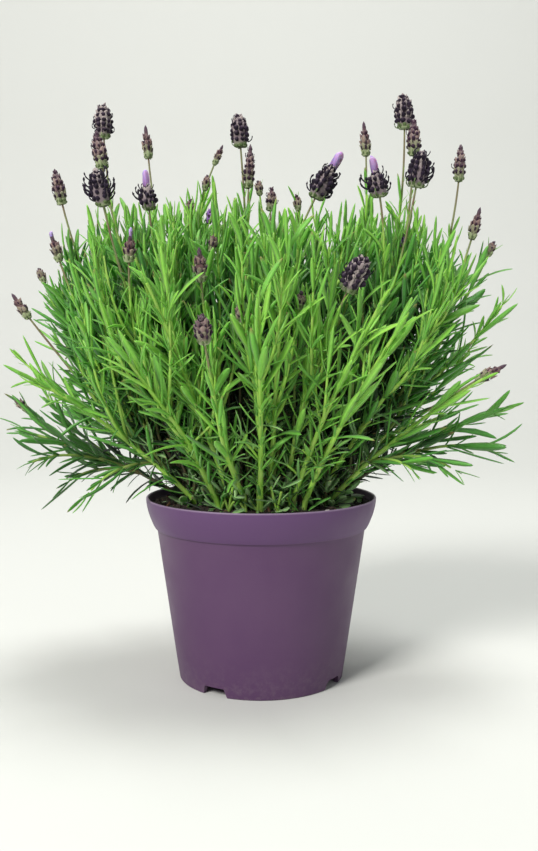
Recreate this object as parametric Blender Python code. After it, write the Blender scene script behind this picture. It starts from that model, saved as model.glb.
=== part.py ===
"""Potted lavender: a tapered nursery pot, its soil, leafy shoots and flowering shoots.

Run it with: blender --background --python part.py
Lengths are metres, +Z is up, and the origin is on the ground at the middle of the pot.
"""

import math
from random import Random

import bmesh
import bpy
from mathutils import Quaternion, Vector
from mathutils.bvhtree import BVHTree

# Pot
RIM_DIAMETER = 0.120
FOOT_DIAMETER = 0.085
POT_HEIGHT = 0.093
COLLAR_HEIGHT = 0.0155  # the flared band below the rim
COLLAR_FLARE = 0.0045  # how much wider the collar gets on its way up
COLLAR_STEP = 0.0012  # how far its lower edge stands out from the wall
COLLAR_SHARES = (0, 0.3, 0.55, 0.75, 1)  # where the collar's curve has its points
WALL = 0.0013
LIP_ROUNDING = 0.0004
FLOOR_HEIGHT = 0.005  # underside of the pot's floor above the ground
FOOT_RING = 0.0026  # width of the ring that the pot stands on
NOTCH_COUNT = 4
NOTCH_WIDTH = 0.014
NOTCH_HEIGHT = 0.0045
NOTCH_TURN = math.radians(-122)  # where the first notch looks
DRAIN_HOLE_DIAMETER = 0.009
DRAIN_RING_DIAMETER = 0.050
POT_SIDES = 40

# Soil
SOIL_BELOW_RIM = 0.004
SOIL_MOUND = 0.003  # how much higher the soil is in the middle
FIT_GAP = 0.0003  # between pieces that touch

# Plant
PLANT_HEIGHT = 0.310  # from the ground to the highest flower
SPREAD_WIDTH = 0.282  # left to right
SPREAD_DEPTH = 0.212  # front to back
FEET_FROM_RIM = 0.023  # how far inside the rim the outermost stems rise from the soil
FOLIAGE_HEIGHT = 0.158  # the tallest leafy shoot above the soil
SKIRT_HEIGHT = 0.036  # the lowest leafy shoot's tip above the soil
FRONT_LIFT = 0.060  # shoots at the front stand up by this much more
STEM_WIDTH = 0.0021
STEM_SPACING = 0.0064  # between the feet of two stems
STEM_CLEARANCE = 0.0009
LEAF_LENGTH = 0.031
LEAF_WIDTH = 0.0036
LEAF_THICKNESS = 0.0007
LEAF_CLEARANCE = 0.0002
HEAD_TIERS = 4
BRACT_LENGTH = 0.008
INNER_SHOOTS = 16
SKIRT_SHOOTS = 12
SEED = 21

# The flowering shoots: name, then the top of the head as shares of half the spread to the
# right and to the back and of the height above the soil, the lean to the right in degrees,
# the head's length and width, and whether it still has its violet bracts.
FLOWERS = (
    ("a", -0.61, 0.14, 0.97, -1, 0.020, 0.0105, False),
    ("b", -0.59, -0.19, 0.86, -9, 0.019, 0.0085, False),
    ("c", -0.56, -0.43, 0.75, -11, 0.018, 0.0105, False),
    ("d", -0.46, 0.29, 0.93, -5, 0.019, 0.0065, False),
    ("e", -0.40, -0.29, 0.73, -5, 0.013, 0.0095, True),
    ("f", -0.77, 0.00, 0.79, -11, 0.019, 0.0080, False),
    ("g", -0.75, -0.19, 0.62, -16, 0.014, 0.0060, True),
    ("h", -0.43, -0.52, 0.60, 7, 0.013, 0.0070, True),
    ("k", -0.09, 0.19, 0.95, -4, 0.019, 0.0105, False),
    ("m", -0.16, 0.48, 0.90, 25, 0.013, 0.0045, False),
    ("n", -0.04, 0.00, 0.85, 3, 0.023, 0.0065, False),
    ("p", 0.04, 0.29, 0.77, 3, 0.013, 0.0070, False),
    ("r", 0.26, -0.19, 0.78, 32, 0.019, 0.0115, True),
    ("u", 0.55, 0.19, 1.00, -3, 0.020, 0.0110, False),
    ("v", 0.56, -0.09, 0.90, -1, 0.019, 0.0085, False),
    ("w", 0.56, -0.33, 0.80, 8, 0.018, 0.0115, False),
    ("x", 0.41, 0.38, 0.95, -5, 0.020, 0.0065, False),
    ("y", 0.76, 0.10, 0.86, 2, 0.020, 0.0075, False),
    ("z", 0.39, -0.29, 0.75, -14, 0.013, 0.0105, True),
    ("ab", 0.80, -0.10, 0.69, 14, 0.017, 0.0060, False),
    ("ad", 0.34, -0.67, 0.55, 28, 0.019, 0.0120, False),
    ("ae", -0.20, -0.57, 0.57, -2, 0.016, 0.0070, False),
    ("af", -0.18, -0.81, 0.42, -5, 0.013, 0.0085, False),
    ("ai", -0.93, 0.00, 0.49, -35, 0.016, 0.0060, False),
    ("aj", 0.86, -0.29, 0.32, 63, 0.017, 0.0060, False),
)

# Worked out from the sizes above
RIM_RADIUS = RIM_DIAMETER / 2
FOOT_RADIUS = FOOT_DIAMETER / 2
COLLAR_BOTTOM = POT_HEIGHT - COLLAR_HEIGHT
SHOULDER_RADIUS = RIM_RADIUS - COLLAR_FLARE - COLLAR_STEP
FLOOR_TOP = FLOOR_HEIGHT + WALL
SOIL_EDGE = POT_HEIGHT - SOIL_BELOW_RIM
SOIL_TOP = SOIL_EDGE + SOIL_MOUND
GOLDEN_ANGLE = math.pi * (3 - math.sqrt(5))
UP = Vector((0, 0, 1))


def material(name, colour, roughness):
    """A plain Principled material."""
    made = bpy.data.materials.new(name)
    made.use_nodes = True
    shader = made.node_tree.nodes["Principled BSDF"]
    shader.inputs["Base Color"].default_value = (*colour, 1)
    shader.inputs["Roughness"].default_value = roughness
    shader.inputs["Metallic"].default_value = 0
    made.diffuse_color = (*colour, 1)
    return made


def add_object(name, bm, finish):
    """Makes a named object of a bmesh and frees the bmesh."""
    mesh = bpy.data.meshes.new(name)
    bm.to_mesh(mesh)
    bm.free()
    mesh.materials.append(finish)
    made = bpy.data.objects.new(name, mesh)
    bpy.context.collection.objects.link(made)
    return made


def turned(profile):
    """A solid of revolution about Z, from (radius, height) points that start and end on the axis."""
    bm = bmesh.new()
    verts = [bm.verts.new((radius, 0, height)) for radius, height in profile]
    edges = [bm.edges.new(pair) for pair in zip(verts, verts[1:])]
    bmesh.ops.spin(
        bm, geom=verts + edges, axis=UP, cent=(0, 0, 0), steps=POT_SIDES, angle=math.tau
    )
    bmesh.ops.remove_doubles(bm, verts=bm.verts, dist=1e-6)
    bmesh.ops.recalc_face_normals(bm, faces=bm.faces)
    return bm


def shade(made, sharpest=35):
    """Smooth shading, with the edges that are sharper than this kept crisp."""
    made.data.shade_smooth()
    made.data.set_sharp_from_angle(angle=math.radians(sharpest))


# Pot ------------------------------------------------------------------------------------


def wall_radius(height):
    """Outer radius of the tapered wall, below the collar."""
    return FOOT_RADIUS + (SHOULDER_RADIUS - FOOT_RADIUS) * height / COLLAR_BOTTOM


def collar_radius(share):
    """Outer radius of the collar, from 0 at its lower edge to 1 at the rim."""
    return SHOULDER_RADIUS + COLLAR_STEP + COLLAR_FLARE * math.sin(share * math.pi / 2)


def collar_points(inset, shares):
    """Points up the collar, moved in from its outer face."""
    return [(collar_radius(s) - inset, COLLAR_BOTTOM + s * COLLAR_HEIGHT) for s in shares]


def drain_cutter():
    """The notches through the foot ring and the drain holes, as one cutter."""
    bm = bmesh.new()
    for i in range(NOTCH_COUNT):
        turn = Quaternion(UP, NOTCH_TURN + math.tau * i / NOTCH_COUNT)
        for vert in bmesh.ops.create_cube(bm, size=1)["verts"]:
            along, across, up = vert.co
            # A notch narrows towards its top, as moulded ones do.
            width = NOTCH_WIDTH * (1.2 if up < 0 else 0.8)
            place = (FOOT_RADIUS + along * 4 * FOOT_RING, across * width, up * 2 * NOTCH_HEIGHT)
            vert.co = turn @ Vector(place)
    for i in range(NOTCH_COUNT):
        turn = NOTCH_TURN + math.tau * (i + 0.5) / NOTCH_COUNT
        hole = bmesh.ops.create_cone(
            bm,
            cap_ends=True,
            segments=12,
            depth=4 * FLOOR_TOP,
            radius1=DRAIN_HOLE_DIAMETER / 2,
            radius2=DRAIN_HOLE_DIAMETER / 2,
        )["verts"]
        away = Vector((math.cos(turn), math.sin(turn), 0)) * DRAIN_RING_DIAMETER / 2
        bmesh.ops.translate(bm, verts=hole, vec=away)
    return bm


def make_pot():
    """A thin tapered wall under a flared collar, on a notched foot ring."""
    inner_foot = FOOT_RADIUS - FOOT_RING
    lip = LIP_ROUNDING
    profile = [
        (0, FLOOR_HEIGHT),
        (inner_foot, FLOOR_HEIGHT),
        (inner_foot, 0),
        (FOOT_RADIUS - lip, 0),
        (wall_radius(2 * lip), 2 * lip),
        (SHOULDER_RADIUS, COLLAR_BOTTOM),
        *collar_points(0, COLLAR_SHARES[:-1]),
        (RIM_RADIUS, POT_HEIGHT - lip),
        (RIM_RADIUS - lip, POT_HEIGHT),
        (RIM_RADIUS - WALL, POT_HEIGHT),
        *reversed(collar_points(WALL, COLLAR_SHARES[1:-1])),
        (SHOULDER_RADIUS - WALL, COLLAR_BOTTOM),
        (wall_radius(FLOOR_TOP) - WALL, FLOOR_TOP),
        (0, FLOOR_TOP),
    ]
    plastic = material("purple_plastic", (0.142, 0.072, 0.142), 0.5)
    pot = add_object("pot", turned(profile), plastic)
    cutter = add_object("drain_cutter", drain_cutter(), plastic)
    cutter.hide_render = True
    cutter.display_type = "WIRE"
    cut = pot.modifiers.new("drainage", "BOOLEAN")
    cut.object = cutter
    cut.operation = "DIFFERENCE"
    cut.solver = "EXACT"
    shade(pot)
    return pot


# Soil -----------------------------------------------------------------------------------


def soil_height(radius):
    """Height of the soil's surface, which is mounded in the middle."""
    share = min(max(radius, 0) / (RIM_RADIUS - WALL), 1)
    return SOIL_EDGE + SOIL_MOUND * (1 - share * share)


def make_soil():
    """The potting soil with the roots in it, which fills the pot."""
    inset = WALL + FIT_GAP
    edge_share = (SOIL_EDGE - COLLAR_BOTTOM) / COLLAR_HEIGHT
    edge = collar_radius(edge_share) - inset
    profile = [
        (0, FLOOR_TOP + FIT_GAP),
        (wall_radius(FLOOR_TOP) - inset, FLOOR_TOP + FIT_GAP),
        (SHOULDER_RADIUS - inset, COLLAR_BOTTOM),
        *collar_points(inset, [s for s in COLLAR_SHARES[1:] if s < edge_share - 0.05]),
        (edge, SOIL_EDGE),
        *[(edge * share, soil_height(edge * share)) for share in (0.85, 0.6, 0.3)],
        (0, SOIL_TOP),
    ]
    peat = material("soil", (0.022, 0.015, 0.011), 0.95)
    soil = add_object("soil", turned(profile), peat)
    shade(soil)
    return soil


# Where each stem goes -------------------------------------------------------------------


class Stem:
    """One stem's line: a curve from its foot on the soil to its tip."""

    def __init__(self, name, across, deep, height, lean=None, head=(0, 0), bracts=False):
        self.name = name
        self.tip = Vector((across * SPREAD_WIDTH / 2, deep * SPREAD_DEPTH / 2, height))
        self.foot = Vector((across, deep, 0)) * (RIM_RADIUS - FEET_FROM_RIM)
        self.outward = math.hypot(across, deep)
        self.lean = lean
        self.head_length, self.head_width = head
        self.bracts = bracts

    def settle(self):
        """Puts the foot on the soil and bends the stem up towards its tip."""
        self.foot.z = soil_height(self.foot.xy.length - STEM_WIDTH) + FIT_GAP
        chord = self.tip - self.foot
        self.length = chord.length
        if self.lean is None:
            end = chord.normalized() + UP * (0.3 - 0.5 * self.outward ** 2)
        else:
            lean = math.radians(self.lean)
            end = Vector((math.sin(lean), 0.6 * chord.y / self.length, math.cos(lean)))
        self.bend = self.tip - end.normalized() * self.length / 2

    def nudge(self, foot, tip, step):
        """Moves the stem some steps aside: a flower in depth only, a leafy shoot round the pot."""
        if self.lean is None:
            turn = Quaternion(UP, math.radians(2.5) * step)
            self.foot, self.tip = turn @ foot, turn @ tip
        else:
            aside = Vector((0, 0.0015 * step, 0))
            self.foot, self.tip = foot + aside / 2, tip + aside
        self.settle()

    def at(self, t):
        """The point at t, from 0 at the foot to 1 at the tip."""
        return self.foot * (1 - t) ** 2 + self.bend * 2 * t * (1 - t) + self.tip * t * t

    def heading(self, t):
        """The stem's direction at t."""
        return ((self.bend - self.foot) * (1 - t) + (self.tip - self.bend) * t).normalized()

    def tube(self, margin):
        """A six-sided tube round the stem and its head, for keeping things apart."""
        head = 1 - self.head_length * 1.1 / self.length if self.head_length else 1
        stations = [(head * i / 12, STEM_WIDTH) for i in range(13)]
        if self.head_length:
            stations += [(head + 0.001, self.head_width * 0.78), (1, self.head_width * 0.78)]
        if self.bracts:
            stations.append((1 + BRACT_LENGTH / self.length, self.head_width))
        points, faces = [], []
        for t, width in stations:
            heading = self.heading(t)
            across = heading.orthogonal().normalized()
            reach = (width * math.sqrt(0.5) + margin) / math.cos(math.pi / 6)
            for side in range(6):
                arm = Quaternion(heading, side * math.pi / 3) @ across
                points.append(self.at(t) + arm * reach)
        for ring in range(0, len(points) - 6, 6):
            for side in range(6):
                after = (side + 1) % 6
                faces.append((ring + side, ring + after, ring + 6 + after, ring + 6 + side))
        return BVHTree.FromPolygons(points, faces)


def leafy_shoots():
    """Leafy stems, whose tips lie on a dome: a skirt round its edge and the rest inside."""
    random = Random(SEED)
    places = [(1.0, math.tau * i / SKIRT_SHOOTS) for i in range(SKIRT_SHOOTS)]
    for i in range(INNER_SHOOTS):
        places.append((0.86 * math.sqrt((i + 0.5) / INNER_SHOOTS), i * GOLDEN_ANGLE + 0.6))
    stems = []
    for i, (share, turn) in enumerate(places):
        outward = math.sin(share * math.pi / 2)
        rise = max(math.cos(share * math.pi / 2), 0) ** 0.8 * random.uniform(0.86, 1.0)
        low = SKIRT_HEIGHT + FRONT_LIFT * max(0, -math.sin(turn)) + random.uniform(0, 0.02)
        height = SOIL_TOP + low + (FOLIAGE_HEIGHT - low) * rise
        name = f"leafy_shoot_{i + 1:02d}"
        stems.append(Stem(name, outward * math.cos(turn), outward * math.sin(turn), height))
    return stems


def flowering_shoots():
    """The stems in FLOWERS."""
    above_soil = PLANT_HEIGHT - SOIL_TOP
    stems = []
    for name, across, deep, high, lean, long, wide, bracts in FLOWERS:
        height = SOIL_TOP + high * above_soil
        name = f"flowering_shoot_{name}"
        stems.append(Stem(name, across, deep, height, lean, (long, wide), bracts))
    return stems


def spread_feet(stems):
    """Moves the feet of stems apart until none is closer than STEM_SPACING."""
    for _ in range(60):
        for i, one in enumerate(stems):
            for other in stems[:i]:
                between = one.foot - other.foot
                short = STEM_SPACING - between.length
                if short > 0:
                    push = between.normalized() * short / 2
                    one.foot += push
                    other.foot -= push


def keep_apart(stems, fixed):
    """Nudges the stems after the first few, to and fro, until each is clear of those before it."""
    placed = []
    for i, stem in enumerate(stems):
        foot, tip = stem.foot.copy(), stem.tip.copy()
        stem.settle()
        for step in range(1, 30 if i >= fixed else 1):
            tube = stem.tube(STEM_CLEARANCE / 2)
            if not any(tube.overlap(other) for other in placed):
                break
            stem.nudge(foot, tip, (step + 1) // 2 * (-1) ** step)
        placed.append(stem.tube(STEM_CLEARANCE / 2))


def all_stems():
    """Every stem; first the four skirt shoots on the axes, which set the plant's spread."""
    leafy = leafy_shoots()
    axial = leafy[: SKIRT_SHOOTS : SKIRT_SHOOTS // 4]
    stems = axial + flowering_shoots() + [stem for stem in leafy if stem not in axial]
    spread_feet(stems)
    keep_apart(stems, len(axial))
    return stems


# Shoots ---------------------------------------------------------------------------------


def extruded(bm, face, ring, corners):
    """Extrudes a face with the given ring of corners; gives the new face and its ring."""
    before = [vert.co.copy() for vert in ring]
    made = bmesh.ops.extrude_discrete_faces(bm, faces=[face])["faces"][0]
    moved = [min(made.verts, key=lambda vert: (vert.co - old).length) for old in before]
    for vert, corner in zip(moved, corners):
        vert.co = corner
    return made, moved


def pointed(bm, face, apex):
    """Closes a face with a point."""
    bmesh.ops.poke(bm, faces=[face])["verts"][0].co = apex


class Grower:
    """Builds one shoot by extruding a square stem, as lavender's is."""

    def __init__(self, stem, turn, width, level):
        self.stem = stem
        heading = stem.heading(0)
        self.side = Quaternion(heading, turn) @ heading.orthogonal().normalized()
        self.bm = bmesh.new()
        bmesh.ops.create_cube(self.bm, size=1)
        self.top = max(self.bm.faces, key=lambda face: face.calc_center_median().z)
        self.ring = list(self.top.verts)
        low = [min((e.other_vert(v) for e in v.link_edges), key=lambda w: w.co.z) for v in self.ring]
        # The first section is far enough up to clear the level foot of a leaning stem.
        rise = max(heading.z, 0.2)
        start = (0.8 * width * math.sqrt(1 - rise * rise) + 0.2 * width) / rise / stem.length
        for vert, corner in zip(low, self.section(0, width)):
            vert.co = Vector((corner.x, corner.y, stem.foot.z)) if level else corner
        for vert, corner in zip(self.ring, self.section(start, width)):
            vert.co = corner

    def section(self, t, width, offset=0.0):
        """Four corners of a square across the stem, a little way on from t if asked."""
        heading = self.stem.heading(t)
        across = (self.side - heading * self.side.dot(heading)).normalized() * width / 2
        other = heading.cross(across)
        centre = self.stem.at(t) + heading * offset
        arms = [across + other, other - across, -across - other, across - other]
        return [centre + arm for arm in arms]

    def grow_to(self, t, width, offset=0.0):
        """Extends the stem and returns the four new side faces, in order round it."""
        corners = self.section(t, width, offset)
        self.top, self.ring = extruded(self.bm, self.top, self.ring, corners)
        sides = []
        for i in range(4):
            edge = self.bm.edges.get((self.ring[i - 1], self.ring[i]))
            sides += [face for face in edge.link_faces if face != self.top]
        return sides


class Blade:
    """A leaf or a bract: it leaves a side of the stem, widens, and bends to a point."""

    def __init__(self, face, heading, length, width, angle, bend=0.0):
        self.face = face
        self.ring = list(face.verts)
        self.points = [vert.co.copy() for vert in self.ring]
        self.root = face.calc_center_median()
        self.width = width
        out = face.normal.copy()
        first = out * math.sin(angle) + heading * math.cos(angle)
        last = out * math.sin(angle + bend) + heading * math.cos(angle + bend)
        self.across = heading.cross(out).normalized()
        self.thick = (first + last).cross(self.across).normalized()
        if self.thick.dot(heading) < 0:
            self.thick.negate()
        self.middle = self.root + first * length * 0.55
        self.tip = self.middle + last * length * 0.45

    def corners(self, margin=0.0):
        """The blade's section at its middle, in the order of the root's corners."""
        found = []
        for point in self.points:
            arm = point - self.root
            side = math.copysign(self.width / 2 + margin, arm.dot(self.across))
            level = math.copysign(LEAF_THICKNESS / 2 + margin, arm.dot(self.thick))
            found.append(self.middle + self.across * side + self.thick * level)
        return found

    def hull(self):
        """The blade with its clearance, for finding whether it touches anything."""
        swell = 1 + 2 * LEAF_CLEARANCE / STEM_WIDTH
        shape = [self.root + (point - self.root) * swell for point in self.points]
        shape += self.corners(LEAF_CLEARANCE)
        shape.append(self.tip + (self.tip - self.middle).normalized() * 2 * LEAF_CLEARANCE)
        faces = [(i, (i + 1) % 4, (i + 1) % 4 + 4, i + 4) for i in range(4)]
        faces += [(i + 4, (i + 1) % 4 + 4, 8) for i in range(4)]
        return BVHTree.FromPolygons(shape, faces)

    def inside_spread(self):
        """Whether the blade keeps within the plant's spread and above the pot's collar."""
        width, depth = SPREAD_WIDTH / 2 - LEAF_WIDTH, SPREAD_DEPTH / 2 - LEAF_WIDTH
        inside = [abs(p.x) < width and abs(p.y) < depth and p.z > POT_HEIGHT for p in (self.middle, self.tip)]
        return all(inside)

    def build(self, bm):
        middle, _ = extruded(bm, self.face, self.ring, self.corners())
        pointed(bm, middle, self.tip)


def grow_leaves(bm, faces, heading, length, angle, taken):
    """Grows a pair of opposite leaves, shorter where it is crowded and none where it is full."""
    for face in faces:
        for size in (length, length * 0.75, length * 0.5):
            width = LEAF_WIDTH * (0.6 + 0.4 * size / LEAF_LENGTH)
            leaf = Blade(face, heading, size, width, angle, bend=math.radians(-12))
            hull = leaf.hull()
            if leaf.inside_spread() and not any(hull.overlap(other) for other in taken):
                taken.append(hull)
                leaf.build(bm)
                break


def grow_head(grower):
    """The flower head: four rows of calyxes in tiers on the end of a bare stalk."""
    stem = grower.stem
    start = 1 - stem.head_length / stem.length
    crown = 1 - stem.head_width * 0.15 / stem.length
    grower.grow_to(start - 0.01, STEM_WIDTH * 0.62)
    for i in range(HEAD_TIERS):
        share = (i + 0.5) / HEAD_TIERS
        width = stem.head_width * math.sqrt(math.sin(math.pi * (0.2 + 0.64 * share)))
        low = start + (crown - start) * (i + 0.1) / HEAD_TIERS
        high = start + (crown - start) * (i + 0.8) / HEAD_TIERS
        grower.grow_to(low, width * 0.58)
        grower.grow_to(high, width * 0.76)
    if stem.bracts:
        grower.grow_to(1, stem.head_width * 0.3)
    else:
        pointed(grower.bm, grower.top, stem.tip)


def grow_shoot(stem, random, taken):
    """One shoot: a stem with pairs of leaves, each turned a quarter from the last."""
    grower = Grower(stem, random.uniform(0, math.tau), STEM_WIDTH, level=True)
    count, last = (3, 0.52) if stem.head_length else (6, 0.93)
    pairs = []
    for i in range(count):
        share = i / (count - 1)
        t = 0.14 + (last - 0.14) * share
        width = STEM_WIDTH * (1 - 0.3 * t)
        grower.grow_to(t, width)
        sides = grower.grow_to(t, width, offset=0.7 * STEM_WIDTH)
        length = LEAF_LENGTH * (0.6 + 0.4 * math.sin(math.pi * (share * 0.75 + 0.1)))
        angle = math.radians(58 - 30 * share)
        pairs.append((sides[i % 2 :: 2], stem.heading(t), length * random.uniform(0.9, 1.1), angle))
    if stem.head_length:
        grower.grow_to(0.7, STEM_WIDTH * 0.7)
        grow_head(grower)
    else:
        pointed(grower.bm, grower.top, stem.tip)
    grower.bm.normal_update()
    for faces, heading, length, angle in pairs:
        grow_leaves(grower.bm, faces, heading, length, angle, taken)
    return grower.bm


def grow_bracts(stem):
    """The violet bracts that stand on a head like two pairs of petals."""
    lift = stem.heading(1)
    base = stem.tip + lift * FIT_GAP * 1.5
    core = Stem(stem.name, 0, 0, 0)
    core.foot, core.bend, core.tip = base, base + lift * BRACT_LENGTH / 2, base + lift * BRACT_LENGTH
    core.length = BRACT_LENGTH
    width = stem.head_width * 0.22
    grower = Grower(core, 0, width, level=False)
    sides = grower.grow_to(0.4, width)
    pointed(grower.bm, grower.top, core.at(0.7))
    grower.bm.normal_update()
    for face in sides:
        Blade(face, lift, BRACT_LENGTH * 0.7, width * 1.4, math.radians(24)).build(grower.bm)
    return grower.bm


def main():
    for old in list(bpy.data.objects):
        bpy.data.objects.remove(old)
    pot = make_pot()
    soil = make_soil()
    leaf_green = material("leaf_green", (0.105, 0.300, 0.035), 0.55)
    dark_calyx = material("dark_calyx", (0.060, 0.035, 0.060), 0.8)
    violet = material("violet_bract", (0.42, 0.18, 0.55), 0.6)
    stems = all_stems()
    random = Random(SEED + 1)
    graph = bpy.context.evaluated_depsgraph_get()
    solids = [BVHTree.FromObject(solid, graph) for solid in (pot, soil)]
    tubes = [stem.tube(LEAF_CLEARANCE) for stem in stems]
    leaves = []
    for i, stem in enumerate(stems):
        taken = solids + tubes[:i] + tubes[i + 1 :] + leaves
        known = len(taken)
        bm = grow_shoot(stem, random, taken)
        leaves += taken[known:]
        add_object(stem.name, bm, dark_calyx if stem.head_length else leaf_green)
        if stem.bracts:
            add_object(stem.name.replace("flowering_shoot", "bracts"), grow_bracts(stem), violet)


main()
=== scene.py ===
# %% [markdown]
# # A potted lavender
# This notebook dresses a simple solid model of a young lavender in its nursery pot. The
# solid model, called the frame, already fixes every size and place. Here each of its plain
# pieces is replaced by a detailed one: the moulded pot, crumbly soil, square stems with
# pairs of narrow leaves, and flower heads built of many small calyxes.
#
# First the frame is loaded. The boxes of its pieces are read from it where sizes are printed.

# %% Load the frame
import math
from random import Random

import bmesh
import bpy
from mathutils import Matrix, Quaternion, Vector, noise
from mathutils.bvhtree import BVHTree


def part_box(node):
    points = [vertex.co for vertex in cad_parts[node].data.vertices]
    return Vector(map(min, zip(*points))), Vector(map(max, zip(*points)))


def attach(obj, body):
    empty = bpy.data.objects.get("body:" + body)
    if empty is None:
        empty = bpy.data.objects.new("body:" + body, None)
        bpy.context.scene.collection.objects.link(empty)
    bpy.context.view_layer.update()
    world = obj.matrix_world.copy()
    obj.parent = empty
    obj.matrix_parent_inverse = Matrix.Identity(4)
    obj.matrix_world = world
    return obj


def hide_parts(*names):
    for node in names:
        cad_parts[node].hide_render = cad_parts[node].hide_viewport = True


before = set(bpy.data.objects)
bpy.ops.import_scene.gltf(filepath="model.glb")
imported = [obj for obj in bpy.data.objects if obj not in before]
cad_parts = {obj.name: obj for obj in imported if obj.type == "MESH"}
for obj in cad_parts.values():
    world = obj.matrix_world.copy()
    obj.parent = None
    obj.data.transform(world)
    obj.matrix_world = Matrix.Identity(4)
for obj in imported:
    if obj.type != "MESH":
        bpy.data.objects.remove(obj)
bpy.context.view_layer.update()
scene = bpy.context.scene
print("frame:", len(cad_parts), "solid pieces")

# %% [markdown]
# ## Recipes of nodes
# Geometry and materials are both made of nodes here. Adding a node always takes the same
# steps: create it, choose its settings, then fill its inputs with values or with links from
# other nodes. A *recipe* does that for every kind of node. It gives back a *value*, and sums
# with values add Math nodes by themselves, so a recipe reads like a formula.


# %% Recipe and value
def first(sockets):
    """The first socket that the node's settings leave in use."""
    return next(socket for socket in sockets if socket.enabled)


class Value:
    """An output of a node: the first one, or another by its name in brackets."""

    def __init__(self, recipe, node, socket=None):
        self.recipe = recipe
        self.node = node
        self.socket = first(node.outputs) if socket is None else socket

    def __getitem__(self, name):
        return Value(self.recipe, self.node, self.node.outputs[name])

    def math(self, operation, *others):
        return self.recipe.add("ShaderNodeMath", self, *others, operation=operation)

    def __add__(self, other):
        return self.math("ADD", other)

    def __sub__(self, other):
        return self.math("SUBTRACT", other)

    def __mul__(self, other):
        return self.math("MULTIPLY", other)

    def __truediv__(self, other):
        return self.math("DIVIDE", other)

    def __pow__(self, other):
        return self.math("POWER", other)

    def __gt__(self, other):
        return self.math("GREATER_THAN", other)

    def __lt__(self, other):
        return self.math("LESS_THAN", other)

    def __rsub__(self, other):
        return self.recipe.add("ShaderNodeMath", other, self, operation="SUBTRACT")

    def __rtruediv__(self, other):
        return self.recipe.add("ShaderNodeMath", other, self, operation="DIVIDE")

    def rescaled(self, low, high, to_low=0.0, to_high=1.0):
        """A Map Range node, which also clamps."""
        return self.recipe.add("ShaderNodeMapRange", self, low, high, to_low, to_high)


class Recipe:
    """A tree of nodes in the making."""

    def __init__(self, tree):
        self.tree = tree

    def fill(self, socket, value):
        """Links a socket to a value, or sets it to a plain number, colour or choice."""
        if isinstance(value, Value):
            self.tree.links.new(value.socket, socket)
        elif value is not None:
            socket.default_value = (*value, 1) if socket.type == "RGBA" else value

    def add(self, kind, *values, **settings):
        """Adds a node. The values go to its inputs in order, and None leaves one alone."""
        node = self.tree.nodes.new(kind)
        for name, value in settings.items():
            setattr(node, name, value)
        for socket, value in zip([s for s in node.inputs if s.enabled], values):
            self.fill(socket, value)
        return Value(self, node)

    def use(self, group, **values):
        """Places a group and fills its inputs by name, with _ for a space."""
        node = self.tree.nodes.new(self.tree.bl_idname.replace("NodeTree", "NodeGroup"))
        node.node_tree = group
        for name, value in values.items():
            self.fill(node.inputs[name.replace("_", " ")], value)
        return Value(self, node)

    def blended(self, share, one, other, blend_type="MIX"):
        """A Mix node for colours."""
        return self.add("ShaderNodeMix", share, one, other, data_type="RGBA", blend_type=blend_type)

    def clouds(self, scale, detail, roughness=0.5):
        """Noise in Object coordinates, so it has the same real size on every piece."""
        place = self.add("ShaderNodeTexCoord")["Object"]
        return self.add("ShaderNodeTexNoise", place, scale, detail, roughness)


class Group(Recipe):
    """A node group. An input is a number, which is its default, or the kind of its socket."""

    def __init__(self, name, kind, output, output_kind, **inputs):
        super().__init__(bpy.data.node_groups.new(name, kind + "NodeTree"))
        sockets = self.tree.interface
        for label, value in inputs.items():
            given_kind = value if isinstance(value, str) else type(value).__name__.capitalize()
            made = sockets.new_socket(
                label.replace("_", " "), in_out="INPUT", socket_type="NodeSocket" + given_kind
            )
            if given_kind != value:
                made.default_value = value
        sockets.new_socket(output, in_out="OUTPUT", socket_type="NodeSocket" + output_kind)
        self.given = Value(self, self.tree.nodes.new("NodeGroupInput"))
        self.result = self.tree.nodes.new("NodeGroupOutput")

    def done(self, value):
        self.fill(self.result.inputs[0], value)
        return self.tree


# %% [markdown]
# Every finished piece is a plain mesh whose object sits at the origin. It hangs on the empty
# of the one body, root, and the solid piece of the frame that it replaces is hidden. The last
# of these helpers does both.


# %% Mesh helpers
def mesh_object(name, bm, *materials):
    """Makes an object of a bmesh, frees the bmesh, and shades it smooth."""
    mesh = bpy.data.meshes.new(name)
    bm.to_mesh(mesh)
    bm.free()
    for material in materials:
        mesh.materials.append(material)
    mesh.shade_smooth()
    made = bpy.data.objects.new(name, mesh)
    bpy.context.collection.objects.link(made)
    return made


def flattened(made):
    """Replaces an object's mesh with what its modifiers make of it, and removes them."""
    graph = bpy.context.evaluated_depsgraph_get()
    result = bpy.data.meshes.new_from_object(made.evaluated_get(graph))
    made.modifiers.clear()
    made.data = result
    return made


def lathe(profile, sides):
    """A solid of revolution about Z, from (radius, height) points that start and end on the axis.

    The rings are built one by one, so that the faces have the same order in every run. The
    crumbs on the soil are scattered face by face, and would land elsewhere otherwise.
    """
    bm = bmesh.new()
    rings = []
    for radius, height in profile:
        turns = [math.tau * i / sides for i in range(sides if radius else 1)]
        rings.append([bm.verts.new((radius * math.cos(a), radius * math.sin(a), height)) for a in turns])
    for lower, upper in zip(rings, rings[1:]):
        for i in range(sides):
            places = ((lower, i), (lower, i + 1), (upper, i + 1), (upper, i))
            corners = [ring[k % len(ring)] for ring, k in places]
            bm.faces.new(dict.fromkeys(corners))
    bmesh.ops.recalc_face_normals(bm, faces=bm.faces)
    return bm


def stand_for(made, node):
    """Hides the solid piece that this detailed piece replaces, and hangs it on the root body."""
    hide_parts(node)
    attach(made, "root")


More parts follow.
